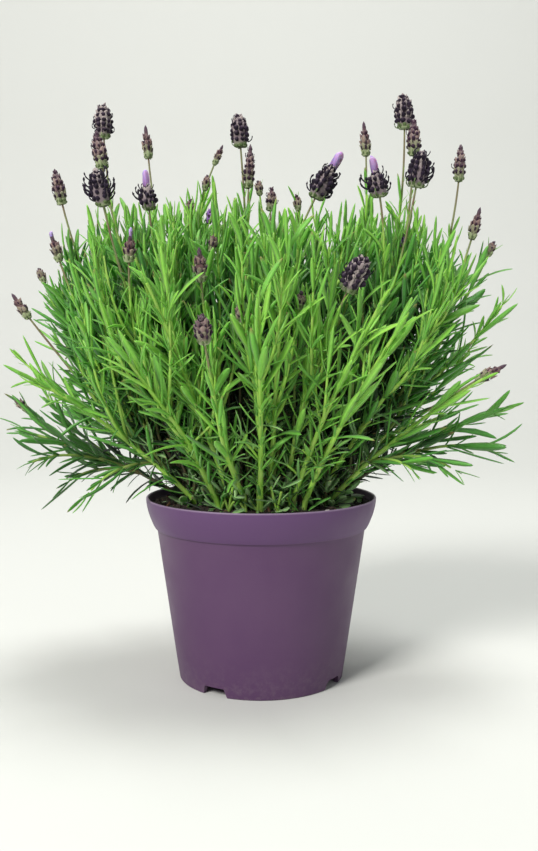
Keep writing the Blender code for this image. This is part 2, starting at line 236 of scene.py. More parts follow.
# %% [markdown]
# ## The light and the camera
# A bright, soft studio suits a plant, so three large lamps and a pale sky give it light from
# all round. The key light stands at the front left, which shades the right side of the pot a
# little. The camera stands level at the height of the leaves. Its lens is shifted down, so
# that the pot's sides stay upright and the whole pot is in the picture.

# %% Floor
FLOOR_HALF_WIDTH = 3
# back and up in metres: flat under the pot, then swept up behind it without an edge
FLOOR_OUTLINE = (
    (-1.2, 0), (0.9, 0), (1.15, 0.02), (1.4, 0.1),
    (1.6, 0.25), (1.72, 0.45), (1.78, 0.7), (1.8, 3),
)
floor_finish = bpy.data.materials.new("pale floor")
floor_finish.use_nodes = True
floor_shader = floor_finish.node_tree.nodes["Principled BSDF"]
floor_shader.inputs["Base Color"].default_value = (0.68, 0.69, 0.66, 1)
floor_shader.inputs["Roughness"].default_value = 0.9

floor_bm = bmesh.new()
left = [floor_bm.verts.new((-FLOOR_HALF_WIDTH, y, z)) for y, z in FLOOR_OUTLINE]
right = [floor_bm.verts.new((FLOOR_HALF_WIDTH, y, z)) for y, z in FLOOR_OUTLINE]
for i in range(len(FLOOR_OUTLINE) - 1):
    floor_bm.faces.new((left[i], right[i], right[i + 1], left[i + 1]))
floor = mesh_object("pale_floor", floor_bm, floor_finish)
print("floor:", len(floor.data.polygons), "faces")


# %% Lamps, sky and camera
def lamp(name, place, target, size, power, colour):
    light = bpy.data.lights.new(name, "AREA")
    light.size = size
    light.energy = power
    light.color = colour
    made = bpy.data.objects.new(name, light)
    made.location = place
    made.rotation_euler = (Vector(target) - Vector(place)).to_track_quat("-Z", "Y").to_euler()
    bpy.context.collection.objects.link(made)


PLANT_MIDDLE = (0, 0, 0.16)
lamp("key", (-1.4, -2.0, 1.9), PLANT_MIDDLE, 0.9, 86, (1.0, 0.98, 0.95))
lamp("fill", (2.0, -1.8, 0.9), PLANT_MIDDLE, 1.5, 8, (0.96, 0.98, 1.0))
lamp("top", (0.2, 0.1, 2.4), PLANT_MIDDLE, 0.9, 36, (1.0, 1.0, 0.98))

sky = bpy.data.worlds.new("soft sky")
sky.use_nodes = True
sky.node_tree.nodes["Background"].inputs["Color"].default_value = (0.93, 0.97, 1.0, 1)
sky.node_tree.nodes["Background"].inputs["Strength"].default_value = 0.22
scene.world = sky
scene.view_settings.view_transform = "Standard"

camera = bpy.data.objects.new("camera", bpy.data.cameras.new("camera"))
camera.data.lens = 40.26
camera.data.shift_y = -0.081
camera.data.clip_start = 0.01
camera.location = (0.0041, -0.5, 0.1657)
camera.rotation_euler = (math.radians(90), 0, 0)
bpy.context.collection.objects.link(camera)
scene.camera = camera
print("lens", camera.data.lens, "mm")

# %% [markdown]
# ## Shared surface effects
# Nothing that grows or is moulded has one flat colour. Two small groups bring that life to
# all materials. *Mottling* mixes two colours in soft patches of a chosen size. *Fine grain*
# gives a height for a Bump node, such as the grain of moulded plastic or the down on a leaf.


# %% Mottling and grain groups
def make_mottling():
    group = Group(
        "mottling", "Shader", "Colour", "Color",
        Colour="Color", Patch_Colour="Color", Patch_Size=0.01, Amount=0.5,
    )
    given = group.given
    patches = group.clouds(1.0 / given["Patch Size"], 3.0, 0.6).rescaled(0.38, 0.64)
    return group.done(group.blended(patches * given["Amount"], given["Colour"], given["Patch Colour"]))


def make_grain():
    group = Group("fine grain", "Shader", "Height", "Float", Grain_Size=0.001, Detail=3.0)
    return group.done(group.clouds(1.0 / group.given["Grain Size"], group.given["Detail"], 0.6))


mottling = make_mottling()
fine_grain = make_grain()
print("groups:", mottling.name, "and", fine_grain.name)


# %% Finish
class Finish(Recipe):
    """A Principled material. What is the same all over is set on the shader's own inputs."""

    def __init__(self, name, roughness, **constants):
        self.material = bpy.data.materials.new(name)
        self.material.use_nodes = True
        super().__init__(self.material.node_tree)
        self.shader = self.tree.nodes["Principled BSDF"]
        self.give(Roughness=roughness, **constants)

    def give(self, **values):
        for name, value in values.items():
            self.fill(self.shader.inputs[name.replace("_", " ")], value)

    def attributes(self, names):
        """Numbers that are stored on the piece's points."""
        return [self.add("ShaderNodeAttribute", attribute_name=name)["Fac"] for name in names.split()]

    def mottled(self, colour, patch_colour, patch_size, amount):
        return self.use(
            mottling, Colour=colour, Patch_Colour=patch_colour, Patch_Size=patch_size, Amount=amount
        )

    def bump(self, strength, distance, **grain):
        bump = self.add("ShaderNodeBump", strength, distance)
        self.fill(bump.node.inputs["Height"], self.use(fine_grain, **grain))
        self.give(Normal=bump)


# %% [markdown]
# ## The pot
# The pot is injection-moulded from thin polypropylene. Its outline is a tapered wall under a
# flared collar, so a lathe makes it: one profile spun round the axis. Small roundings on the
# lip, the collar's lower edge and the foot catch the light, and without them plastic looks
# like cut card. The notches in the foot ring and the drain holes are cut by a Boolean, whose
# cutter is thrown away afterwards.

# %% Sizes of the pot
RIM_RADIUS = 0.060
FOOT_RADIUS = 0.0425
POT_HEIGHT = 0.093
COLLAR_HEIGHT = 0.0155
COLLAR_FLARE = 0.0045
COLLAR_STEP = 0.0012
WALL = 0.0013
FLOOR_HEIGHT = 0.005
FOOT_RING = 0.0026
FLOOR_ROUNDING = 0.0006
RING_ROUNDING = 0.0004
FOOT_ROUNDING = 0.0007
SHOULDER_ROUNDING = 0.0003
COLLAR_ROUNDING = 0.00045
NOTCH_COUNT = 4
NOTCH_WIDTH = 0.014
NOTCH_HEIGHT = 0.0045
NOTCH_TURN = math.radians(-122)
NOTCH_ROUNDING = 0.0018
DRAIN_HOLE_DIAMETER = 0.009
DRAIN_RING_DIAMETER = 0.050
COLLAR_BOTTOM = POT_HEIGHT - COLLAR_HEIGHT
SHOULDER_RADIUS = RIM_RADIUS - COLLAR_FLARE - COLLAR_STEP
FLOOR_TOP = FLOOR_HEIGHT + WALL
low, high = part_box("pot")
print("rim", round(high.x - low.x, 4), "m across and", round(high.z - low.z, 4), "m high")


# %% Pot outline
def wall_radius(height):
    return FOOT_RADIUS + (SHOULDER_RADIUS - FOOT_RADIUS) * height / COLLAR_BOTTOM


def collar_point(share, inset=0.0):
    radius = SHOULDER_RADIUS + COLLAR_STEP + COLLAR_FLARE * math.sin(share * math.pi / 2)
    return radius - inset, COLLAR_BOTTOM + share * COLLAR_HEIGHT


def rounding(across, up, radius, start, stop, steps=4):
    """Points on an arc, with angles in degrees from outwards towards up."""
    turns = [math.radians(start + (stop - start) * i / steps) for i in range(steps + 1)]
    return [(across + radius * math.cos(a), up + radius * math.sin(a)) for a in turns]


def pot_profile():
    inner_foot = FOOT_RADIUS - FOOT_RING
    rises = [i / 12 for i in range(1, 12)]
    edge, under = COLLAR_ROUNDING, SHOULDER_ROUNDING
    return [
        (0, FLOOR_HEIGHT),
        (inner_foot - 0.002, FLOOR_HEIGHT),
        *rounding(inner_foot - FLOOR_ROUNDING, FLOOR_HEIGHT - FLOOR_ROUNDING, FLOOR_ROUNDING, 90, 0, 3),
        *rounding(inner_foot + RING_ROUNDING, RING_ROUNDING, RING_ROUNDING, 180, 270, 3),
        *rounding(FOOT_RADIUS - FOOT_ROUNDING, FOOT_ROUNDING, FOOT_ROUNDING, 270, 360),
        *[(wall_radius(z), z) for z in (0.012, 0.03, 0.05, 0.068)],
        (wall_radius(COLLAR_BOTTOM - 0.001), COLLAR_BOTTOM - 0.001),
        *rounding(SHOULDER_RADIUS + under, COLLAR_BOTTOM - under, under, 180, 90, 2),
        *rounding(collar_point(0)[0] - edge, COLLAR_BOTTOM + edge, edge, 270, 360, 3),
        *[collar_point(share) for share in rises],
        *rounding(RIM_RADIUS - WALL / 2, POT_HEIGHT - WALL / 2, WALL / 2, 0, 180, 8),
        *[collar_point(share, WALL) for share in reversed(rises)],
        (SHOULDER_RADIUS - WALL, COLLAR_BOTTOM),
        (wall_radius(FLOOR_TOP) - WALL, FLOOR_TOP),
        (0, FLOOR_TOP),
    ]


# %% Pot mesh
def cut_notch(bm, turn):
    """Adds a block for one notch. It narrows upwards, and its upper edges are rounded."""
    block = bmesh.ops.create_cube(bm, size=1)["verts"]
    for vert in block:
        along, across, up = vert.co
        width = NOTCH_WIDTH * (1.2 if up < 0 else 0.8)
        vert.co = turn @ Vector((FOOT_RADIUS + along * 4 * FOOT_RING, across * width, up * 2 * NOTCH_HEIGHT))
    upright = [e for v in block for e in v.link_edges]
    top = [e for e in dict.fromkeys(upright) if all(v.co.z > 0 for v in e.verts)]
    radial = [e for e in top if abs((turn.inverted() @ (e.verts[0].co - e.verts[1].co)).y) < 1e-6]
    bmesh.ops.bevel(bm, geom=radial, offset=NOTCH_ROUNDING, segments=4, affect="EDGES", profile=0.5)


def drain_cutter():
    bm = bmesh.new()
    for i in range(NOTCH_COUNT):
        cut_notch(bm, Quaternion((0, 0, 1), NOTCH_TURN + math.tau * i / NOTCH_COUNT))
    radius = DRAIN_HOLE_DIAMETER / 2
    for i in range(NOTCH_COUNT):
        turn = NOTCH_TURN + math.tau * (i + 0.5) / NOTCH_COUNT
        hole = bmesh.ops.create_cone(
            bm, cap_ends=True, segments=32, depth=4 * FLOOR_TOP, radius1=radius, radius2=radius
        )["verts"]
        away = Vector((math.cos(turn), math.sin(turn), 0)) * DRAIN_RING_DIAMETER / 2
        bmesh.ops.translate(bm, verts=hole, vec=away)
    return bm


def make_pot(plastic):
    pot = mesh_object("moulded_pot", lathe(pot_profile(), 160), plastic)
    cutter = mesh_object("drain_cutter", drain_cutter())
    cut = pot.modifiers.new("drainage", "BOOLEAN")
    cut.object = cutter
    cut.solver = "EXACT"
    flattened(pot)
    bpy.data.objects.remove(cutter)
    pot.data.set_sharp_from_angle(angle=math.radians(40))
    return pot


# %% [markdown]
# The plastic is a dull purple, a little bluer and lighter on the collar. The rim is paler: a
# painted highlight where light catches and passes through the thin lip, and rubbed wear. Dust
# from the soil gathers low on the wall. A fine grain breaks up the gloss.


# %% Purple plastic
def make_plastic():
    plastic = Finish("purple plastic", 0.48)
    height = plastic.add("ShaderNodeSeparateXYZ", plastic.add("ShaderNodeTexCoord")["Object"])["Z"]
    body = plastic.mottled((0.082, 0.031, 0.096), (0.093, 0.039, 0.104), 0.03, 0.7)
    on_collar = height.rescaled(COLLAR_BOTTOM - 0.0004, COLLAR_BOTTOM + 0.0004)
    body = plastic.blended(on_collar, body, (0.094, 0.038, 0.122))
    # painted highlight and rubbed wear: the top of the lip is paler
    lip_highlight_and_wear = height.rescaled(POT_HEIGHT - 0.0009, POT_HEIGHT - 0.0002, 0.0, 0.75)
    body = plastic.blended(lip_highlight_and_wear, body, (0.30, 0.22, 0.33))
    dust = height.rescaled(0.0, 0.02, 0.35, 0.0) * plastic.clouds(260.0, 4.0, 0.7).rescaled(0.45, 0.7)
    plastic.give(
        Base_Color=plastic.blended(dust, body, (0.19, 0.14, 0.17)),
        Roughness=plastic.clouds(45.0, 3.0).rescaled(0.3, 0.7, 0.42, 0.56),
    )
    plastic.bump(0.25, 0.0002, Grain_Size=0.0009)
    return plastic.material


pot = make_pot(make_plastic())
stand_for(pot, "pot")
print("pot:", len(pot.data.polygons), "faces")

# %% [markdown]
# ## The soil
# Potting soil is dark peat with crumbs, short bark chips and a few white grains of perlite.
# The body of the soil is another lathe, whose top is roughened by noise. The loose bits on
# it repeat hundreds of times, so Geometry Nodes scatter them: points on the top faces, a
# randomly turned crumb on each, and a stored number that the material reads as its tint.

# %% Soil body
SOIL_EDGE = POT_HEIGHT - 0.004
SOIL_MOUND = 0.003
SOIL_TOP = SOIL_EDGE + SOIL_MOUND
FIT_GAP = 0.0003
LUMP_HEIGHT = 0.0011
CALM_EDGE = 0.006


def soil_height(radius):
    share = min(max(radius, 0) / (RIM_RADIUS - WALL), 1)
    return SOIL_EDGE + SOIL_MOUND * (1 - share * share)


def make_soil(peat):
    inset = WALL + FIT_GAP
    edge = collar_point((SOIL_EDGE - COLLAR_BOTTOM) / COLLAR_HEIGHT, inset)[0]
    rings = [edge * (1 - i / 40) for i in range(40)]
    profile = [
        (0, FLOOR_TOP + FIT_GAP),
        (wall_radius(FLOOR_TOP) - inset, FLOOR_TOP + FIT_GAP),
        (SHOULDER_RADIUS - inset, COLLAR_BOTTOM),
        *[collar_point(share, inset) for share in (0.2, 0.4, 0.6)],
        *[(radius, soil_height(radius)) for radius in rings],
        (0, SOIL_TOP),
    ]
    bm = lathe(profile, 120)
    for vert in bm.verts:
        radius = vert.co.xy.length
        if vert.co.z > SOIL_EDGE - 0.0005 and radius < edge - 0.0005:
            lumps = noise.fractal(vert.co * 130, 0.8, 2.0, 4)
            vert.co.z += (lumps * LUMP_HEIGHT - 0.0004) * min((edge - radius) / CALM_EDGE, 1)
    return mesh_object("potting_soil", bm, peat)


# %% Crumb shapes
def hidden_set(name, objects):
    """Puts shapes in a collection that isn't in the scene, for instancing."""
    made = bpy.data.collections.new(name)
    for shape in objects:
        bpy.context.collection.objects.unlink(shape)
        made.objects.link(shape)
    return made


def crumb(name, seed, stretch):
    bm = bmesh.new()
    bmesh.ops.create_icosphere(bm, subdivisions=1, radius=1)
    for vert in bm.verts:
        vert.co *= 1 + 0.45 * noise.noise(vert.co * 1.3 + Vector((seed * 7.1, 0, 0)))
        vert.co = Vector([a * b for a, b in zip(vert.co, stretch)])
    return mesh_object(name, bm)


STRETCHES = {"a": (1, 1, 0.8), "b": (1, 0.8, 0.6), "c": (0.9, 1.1, 0.7), "chip": (2.0, 0.8, 0.3)}
crumbs = hidden_set(
    "crumbs",
    [crumb("crumb_" + kind, i, stretch) for i, (kind, stretch) in enumerate(STRETCHES.items(), 1)],
)


# %% Growth
class Growth(Group):
    """A Geometry Nodes tree. Everything it makes ends as real mesh with its finish."""

    def __init__(self, name, **inputs):
        super().__init__(name, "Geometry", "Geometry", "Geometry", **inputs)

    def named(self, name, data_type="FLOAT"):
        return self.add("GeometryNodeInputNamedAttribute", name, data_type=data_type)

    def store(self, geometry, name, value, data_type="FLOAT", domain="POINT"):
        kind = "GeometryNodeStoreNamedAttribute"
        return self.add(kind, geometry, None, name, value, data_type=data_type, domain=domain)

    def chance(self, low, high, seed, data_type="FLOAT"):
        return self.add("FunctionNodeRandomValue", low, high, None, seed, data_type=data_type)

    def vector(self, x, y, z):
        return self.add("ShaderNodeCombineXYZ", x, y, z)

    def turned(self, rotation, x, y, z):
        """A rotation, turned further about its own axes."""
        turn = self.add("FunctionNodeEulerToRotation", self.vector(x, y, z))
        return self.add("FunctionNodeRotateRotation", rotation, turn, rotation_space="LOCAL")

    def moved(self, points, offset, rotation):
        """Points moved by an offset that is turned by a rotation."""
        offset = self.add("FunctionNodeRotateVector", offset, rotation)
        return self.add("GeometryNodeSetPosition", points, None, None, offset)

    def painted(self, geometry, slot="Finish"):
        return self.add("GeometryNodeSetMaterial", geometry, None, self.given[slot])

    def placed(self, points, chosen, shapes, which, rotation, size):
        """One of the shapes on each chosen point."""
        shapes = self.add("GeometryNodeCollectionInfo", shapes, True, True)
        kind = "GeometryNodeInstanceOnPoints"
        return self.add(kind, points, chosen, shapes, True, which, rotation, size)

    def tinted(self, instances):
        """The end of a group: each instance gets a tint, is made real and gets its finish."""
        tint = self.chance(0.0, 1.0, self.given["Seed"] + 5.0)
        instances = self.store(instances, "tint", tint, domain="INSTANCE")
        return self.done(self.painted(self.add("GeometryNodeRealizeInstances", instances)))


def grow(made, tree, **values):
    """Runs a Geometry Nodes tree on an object, with inputs given by name, and keeps the mesh."""
    modifier = made.modifiers.new(tree.name, "NODES")
    modifier.node_group = tree
    for item in tree.interface.items_tree:
        key = item.name.replace(" ", "_")
        if item.in_out == "INPUT" and key in values:
            modifier[item.identifier] = values[key]
    return flattened(made)


# %% Scatter tree
def make_scatter_tree():
    tree = Growth(
        "scatter crumbs", Geometry="Geometry", Crumbs="Collection", Density=100000.0, Within=0.05,
        Smallest=0.0003, Largest=0.001, Seed=1, Finish="Material",
    )
    given, seed = tree.given, tree.given["Seed"]
    facing = tree.add("ShaderNodeSeparateXYZ", tree.add("GeometryNodeInputNormal"))["Z"]
    place = tree.add("ShaderNodeSeparateXYZ", tree.add("GeometryNodeInputPosition"))
    radius = (place["X"] * place["X"] + place["Y"] * place["Y"]).math("SQRT")
    is_top = (facing > 0.3) * (radius < given["Within"])
    kind = "GeometryNodeDistributePointsOnFaces"
    points = tree.add(kind, given["Geometry"], is_top, given["Density"], seed)
    points = tree.store(points, "tint", tree.chance(0.0, 1.0, seed))
    # Most crumbs are small: the random number is cubed before it is turned into a size.
    roll = tree.chance(0.0, 1.0, seed + 5.0) ** 3.0
    size = roll.rescaled(0.0, 1.0, given["Smallest"], given["Largest"])
    angles = tree.chance((0, 0, 0), (6.3, 6.3, 6.3), 3, "FLOAT_VECTOR")
    turn = tree.add("FunctionNodeEulerToRotation", angles)
    which = tree.chance(0, 3, 8, "INT")
    placed = tree.placed(points, None, given["Crumbs"], which, turn, size)
    loose = tree.add("GeometryNodeRealizeInstances", placed)
    both = tree.add("GeometryNodeJoinGeometry", given["Geometry"])
    tree.fill(both.node.inputs[0], tree.add("GeometryNodeSetShadeSmooth", loose, None, False))
    return tree.done(tree.painted(both))


# %% [markdown]
# The tint turns a few crumbs into other things: below 0.022 a white grain of perlite, and
# above 0.9 a brown chip of bark. All others are nearly black peat.


# %% Peat
def make_peat():
    peat = Finish("dark peat", 0.92)
    body = peat.mottled((0.012, 0.009, 0.007), (0.036, 0.024, 0.016), 0.004, 1.0)
    (tint,) = peat.attributes("tint")
    body = peat.blended(tint.rescaled(0.90, 0.92), body, (0.13, 0.065, 0.028))
    is_perlite = (tint < 0.022) * (tint > 0.0001)
    peat.give(Base_Color=peat.blended(is_perlite, body, (0.62, 0.60, 0.55)))
    peat.bump(0.8, 0.0008, Grain_Size=0.0012, Detail=5.0)
    return peat.material


peat = make_peat()
soil = make_soil(peat)
grow(
    soil, make_scatter_tree(), Crumbs=crumbs, Density=260000.0, Within=0.055, Smallest=0.00035,
    Largest=0.0019, Seed=4, Finish=peat,
)
stand_for(soil, "soil")
print("soil:", len(soil.data.polygons), "faces")

# %% [markdown]
# ## Where the stems go
# Each stem follows one smooth curve from its foot in the soil to its tip. The solid model
# places them by rules, and the same rules run again here, so each detailed shoot grows in the
# space of the solid one. The flowering stems are listed by the place, lean and size of their
# heads. The leafy ones follow a dome: a skirt of twelve round the edge, the rest inside at
# the golden angle, as seeds in a sunflower.

# %% Sizes of the plant
PLANT_HEIGHT = 0.310
SPREAD_WIDTH = 0.282
SPREAD_DEPTH = 0.212
FEET_FROM_RIM = 0.023
FOLIAGE_HEIGHT = 0.158
SKIRT_HEIGHT = 0.036
FRONT_LIFT = 0.060
STEM_WIDTH = 0.0021
STEM_SPACING = 0.0064
STEM_CLEARANCE = 0.0009
BRACT_LENGTH = 0.008
INNER_SHOOTS = 16
SKIRT_SHOOTS = 12
SEED = 21
GOLDEN_ANGLE = math.pi * (3 - math.sqrt(5))
UP = Vector((0, 0, 1))

# name, right, back, up, lean in degrees, head length, head width, violet bracts
FLOWERS = (
    ("a", -0.61, 0.14, 0.97, -1, 0.020, 0.0105, False),
    ("b", -0.59, -0.19, 0.86, -9, 0.019, 0.0085, False),
    ("c", -0.56, -0.43, 0.75, -11, 0.018, 0.0105, False),
    ("d", -0.46, 0.29, 0.93, -5, 0.019, 0.0065, False),
    ("e", -0.40, -0.29, 0.73, -5, 0.013, 0.0095, True),
    ("f", -0.77, 0.00, 0.79, -11, 0.019, 0.0080, False),
    ("g", -0.75, -0.19, 0.62, -16, 0.014, 0.0060, True),
    ("h", -0.43, -0.52, 0.60, 7, 0.013, 0.0070, True),
    ("k", -0.09, 0.19, 0.95, -4, 0.019, 0.0105, False),
    ("m", -0.16, 0.48, 0.90, 25, 0.013, 0.0045, False),
    ("n", -0.04, 0.00, 0.85, 3, 0.023, 0.0065, False),
    ("p", 0.04, 0.29, 0.77, 3, 0.013, 0.0070, False),
    ("r", 0.26, -0.19, 0.78, 32, 0.019, 0.0115, True),
    ("u", 0.55, 0.19, 1.00, -3, 0.020, 0.0110, False),
    ("v", 0.56, -0.09, 0.90, -1, 0.019, 0.0085, False),
    ("w", 0.56, -0.33, 0.80, 8, 0.018, 0.0115, False),
    ("x", 0.41, 0.38, 0.95, -5, 0.020, 0.0065, False),
    ("y", 0.76, 0.10, 0.86, 2, 0.020, 0.0075, False),
    ("z", 0.39, -0.29, 0.75, -14, 0.013, 0.0105, True),
    ("ab", 0.80, -0.10, 0.69, 14, 0.017, 0.0060, False),
    ("ad", 0.34, -0.67, 0.55, 28, 0.019, 0.0120, False),
    ("ae", -0.20, -0.57, 0.57, -2, 0.016, 0.0070, False),
    ("af", -0.18, -0.81, 0.42, -5, 0.013, 0.0085, False),
    ("ai", -0.93, 0.00, 0.49, -35, 0.016, 0.0060, False),
    ("aj", 0.86, -0.29, 0.32, 63, 0.017, 0.0060, False),
)


# %% One stem's curve
class Stem:
    """A curve from its foot on the soil to its tip."""

    def __init__(self, name, across, deep, height, lean=None, head=(0, 0), bracts=False):
        self.name = name
        self.tip = Vector((across * SPREAD_WIDTH / 2, deep * SPREAD_DEPTH / 2, height))
        self.foot = Vector((across, deep, 0)) * (RIM_RADIUS - FEET_FROM_RIM)
        self.outward = math.hypot(across, deep)
        self.lean = lean
        self.head_length, self.head_width = head
        self.bracts = bracts

    def settle(self):
        """Puts the foot on the soil and bends the stem up towards its tip."""
        self.foot.z = soil_height(self.foot.xy.length - STEM_WIDTH) + FIT_GAP
        chord = self.tip - self.foot
        self.length = chord.length
        if self.lean is None:
            end = chord.normalized() + UP * (0.3 - 0.5 * self.outward ** 2)
        else:
            lean = math.radians(self.lean)
            end = Vector((math.sin(lean), 0.6 * chord.y / self.length, math.cos(lean)))
        self.bend = self.tip - end.normalized() * self.length / 2

    def nudge(self, foot, tip, step):
        """Moves the stem some steps aside: a flower in depth only, a leafy shoot round the pot."""
        if self.lean is None:
            turn = Quaternion(UP, math.radians(2.5) * step)
            self.foot, self.tip = turn @ foot, turn @ tip
        else:
            aside = Vector((0, 0.0015 * step, 0))
            self.foot, self.tip = foot + aside / 2, tip + aside
        self.settle()

    def at(self, t):
        return self.foot * (1 - t) ** 2 + self.bend * 2 * t * (1 - t) + self.tip * t * t

    def heading(self, t):
        return ((self.bend - self.foot) * (1 - t) + (self.tip - self.bend) * t).normalized()

    def tube(self, margin):
        """A six-sided tube round the stem and its head, for keeping stems apart."""
        head = 1 - self.head_length * 1.1 / self.length if self.head_length else 1
        stations = [(head * i / 12, STEM_WIDTH) for i in range(13)]
        if self.head_length:
            stations += [(head + 0.001, self.head_width * 0.78), (1, self.head_width * 0.78)]
        if self.bracts:
            stations.append((1 + BRACT_LENGTH / self.length, self.head_width))
        points, faces = [], []
        for t, width in stations:
            heading = self.heading(t)
            across = heading.orthogonal().normalized()
            reach = (width * math.sqrt(0.5) + margin) / math.cos(math.pi / 6)
            for side in range(6):
                arm = Quaternion(heading, side * math.pi / 3) @ across
                points.append(self.at(t) + arm * reach)
        for ring in range(0, len(points) - 6, 6):
            for side in range(6):
                after = (side + 1) % 6
                faces.append((ring + side, ring + after, ring + 6 + after, ring + 6 + side))
        return BVHTree.FromPolygons(points, faces)


# %% Plant out the stems
def leafy_shoots():
    """Leafy stems, whose tips lie on a dome: a skirt round its edge and the rest inside."""
    random = Random(SEED)
    places = [(1.0, math.tau * i / SKIRT_SHOOTS) for i in range(SKIRT_SHOOTS)]
    for i in range(INNER_SHOOTS):
        places.append((0.86 * math.sqrt((i + 0.5) / INNER_SHOOTS), i * GOLDEN_ANGLE + 0.6))
    stems = []
    for i, (share, turn) in enumerate(places):
        outward = math.sin(share * math.pi / 2)
        rise = max(math.cos(share * math.pi / 2), 0) ** 0.8 * random.uniform(0.86, 1.0)
        low = SKIRT_HEIGHT + FRONT_LIFT * max(0, -math.sin(turn)) + random.uniform(0, 0.02)
        height = SOIL_TOP + low + (FOLIAGE_HEIGHT - low) * rise
        name = f"leafy_shoot_{i + 1:02d}"
        stems.append(Stem(name, outward * math.cos(turn), outward * math.sin(turn), height))
    return stems


def flowering_shoots():
    above_soil = PLANT_HEIGHT - SOIL_TOP
    stems = []
    for name, across, deep, high, lean, long, wide, bracts in FLOWERS:
        height = SOIL_TOP + high * above_soil
        name = f"flowering_shoot_{name}"
        stems.append(Stem(name, across, deep, height, lean, (long, wide), bracts))
    return stems


def spread_feet(stems):
    for _ in range(60):
        for i, one in enumerate(stems):
            for other in stems[:i]:
                between = one.foot - other.foot
                short = STEM_SPACING - between.length
                if short > 0:
                    push = between.normalized() * short / 2
                    one.foot += push
                    other.foot -= push


def keep_apart(stems, fixed):
    placed = []
    for i, stem in enumerate(stems):
        foot, tip = stem.foot.copy(), stem.tip.copy()
        stem.settle()
        for step in range(1, 30 if i >= fixed else 1):
            tube = stem.tube(STEM_CLEARANCE / 2)
            if not any(tube.overlap(other) for other in placed):
                break
            stem.nudge(foot, tip, (step + 1) // 2 * (-1) ** step)
        placed.append(stem.tube(STEM_CLEARANCE / 2))


def all_stems():
    leafy = leafy_shoots()
    axial = leafy[: SKIRT_SHOOTS : SKIRT_SHOOTS // 4]
    stems = axial + flowering_shoots() + [stem for stem in leafy if stem not in axial]
    spread_feet(stems)
    keep_apart(stems, len(axial))
    return stems


stems = all_stems()
furthest = max((Vector(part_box(s.name)[0]).z - s.foot.z for s in stems), key=abs)
print(len(stems), "stems; a foot differs from the solid one by at most", round(abs(furthest), 5), "m")

# %% [markdown]
# ## Leaf, calyx and petal shapes
# A lavender leaf is narrow, folded a little along its midrib, and blunt at the tip. One leaf
# is a string of four-cornered sections: two margins, the midrib on top, and the keel below.
# It is one unit long, stands on the origin and points up, because an instance scales and
# turns about its origin. Each point stores how far along and across the leaf it lies, for the
# material. Several bends give variety: real leaves curve out, in and sideways.


# %% Blade maker
def blade(name, widths, thickness, fold, bow, sway=0.0, twist=0.0):
    """A blade with stations (height, width). It bows towards +X and sways towards +Y."""
    bm = bmesh.new()
    along = bm.verts.layers.float.new("along")
    across = bm.verts.layers.float.new("across")

    def corner(height, x, y, side):
        turn = twist * height
        x, y = x * math.cos(turn) - y * math.sin(turn), x * math.sin(turn) + y * math.cos(turn)
        vert = bm.verts.new((x + bow * height ** 2, y + sway * height ** 2, height))
        vert[along] = height
        vert[across] = side
        return vert

    rings = []
    for height, width in widths:
        half, thick = width / 2, thickness * (0.4 + 0.6 * (1 - height))
        section = ((-fold * half, -half, -1), (0, 0, 0), (-fold * half, half, 1), (thick, 0, 0.3))
        rings.append([corner(height, *point) for point in section])
    for lower, upper in zip(rings, rings[1:]):
        for i in range(4):
            bm.faces.new((lower[i], lower[i - 1], upper[i - 1], upper[i]))
    for ring, height in ((rings[0], -0.01), (rings[-1], 1.0)):
        end = corner(height, 0, 0, 0)
        for i in range(4):
            bm.faces.new((ring[i], ring[i - 1], end))
    bmesh.ops.recalc_face_normals(bm, faces=bm.faces)
    return mesh_object(name, bm)


NARROW = ((0, 0.04), (0.12, 0.055), (0.34, 0.09), (0.58, 0.105), (0.8, 0.085), (0.94, 0.045))
MIDDLE = ((0, 0.045), (0.12, 0.06), (0.34, 0.105), (0.6, 0.13), (0.82, 0.105), (0.95, 0.055))
BROAD = ((0, 0.07), (0.12, 0.10), (0.34, 0.18), (0.6, 0.25), (0.82, 0.22), (0.95, 0.12))
FINGER = ((0, 0.34), (0.2, 0.42), (0.5, 0.44), (0.8, 0.38), (0.95, 0.22))
SCALE = ((0, 0.30), (0.25, 0.72), (0.55, 0.80), (0.85, 0.40))


def blades(kind, *shapes):
    """A hidden set of blades. Each row has widths, thickness, fold, bow, sway and twist."""
    made = [blade(f"{kind}_{i}", *shape) for i, shape in enumerate(shapes)]
    return hidden_set(kind + " shapes", made)


leaf_shapes = blades(
    "leaf",
    (NARROW, 0.02, 0.35, -0.06, 0.02),
    (MIDDLE, 0.02, 0.45, -0.15, -0.04, 0.3),
    (MIDDLE, 0.02, 0.3, 0.06, 0.05, -0.4),
    (NARROW, 0.02, 0.4, -0.32, 0.05, 0.4),
    (MIDDLE, 0.03, 0.25, 0.24, -0.10, 0.6),
    (BROAD, 0.03, 0.3, -0.1, 0.03, 0.2),
)
petal_shapes = blades(
    "petal",
    (FINGER, 0.04, 0.5, -0.05, 0.10, 0.2),
    (FINGER, 0.04, 0.3, 0.06, -0.12, -0.3),
    (FINGER, 0.04, 0.4, -0.10, 0.0, 0.4),
)
scale_shapes = blades(
    "scale",
    (SCALE, 0.06, 0.5, 0.0, 0.03),
    (SCALE, 0.06, 0.4, -0.04, -0.04),
    (SCALE, 0.06, 0.6, 0.04),
)

# %% [markdown]
# A calyx is a small downy tube, ribbed and nearly black, and ends in a knob. On the oldest
# heads the withered flowers still hang out of it as thin dark hooks that curl upwards.


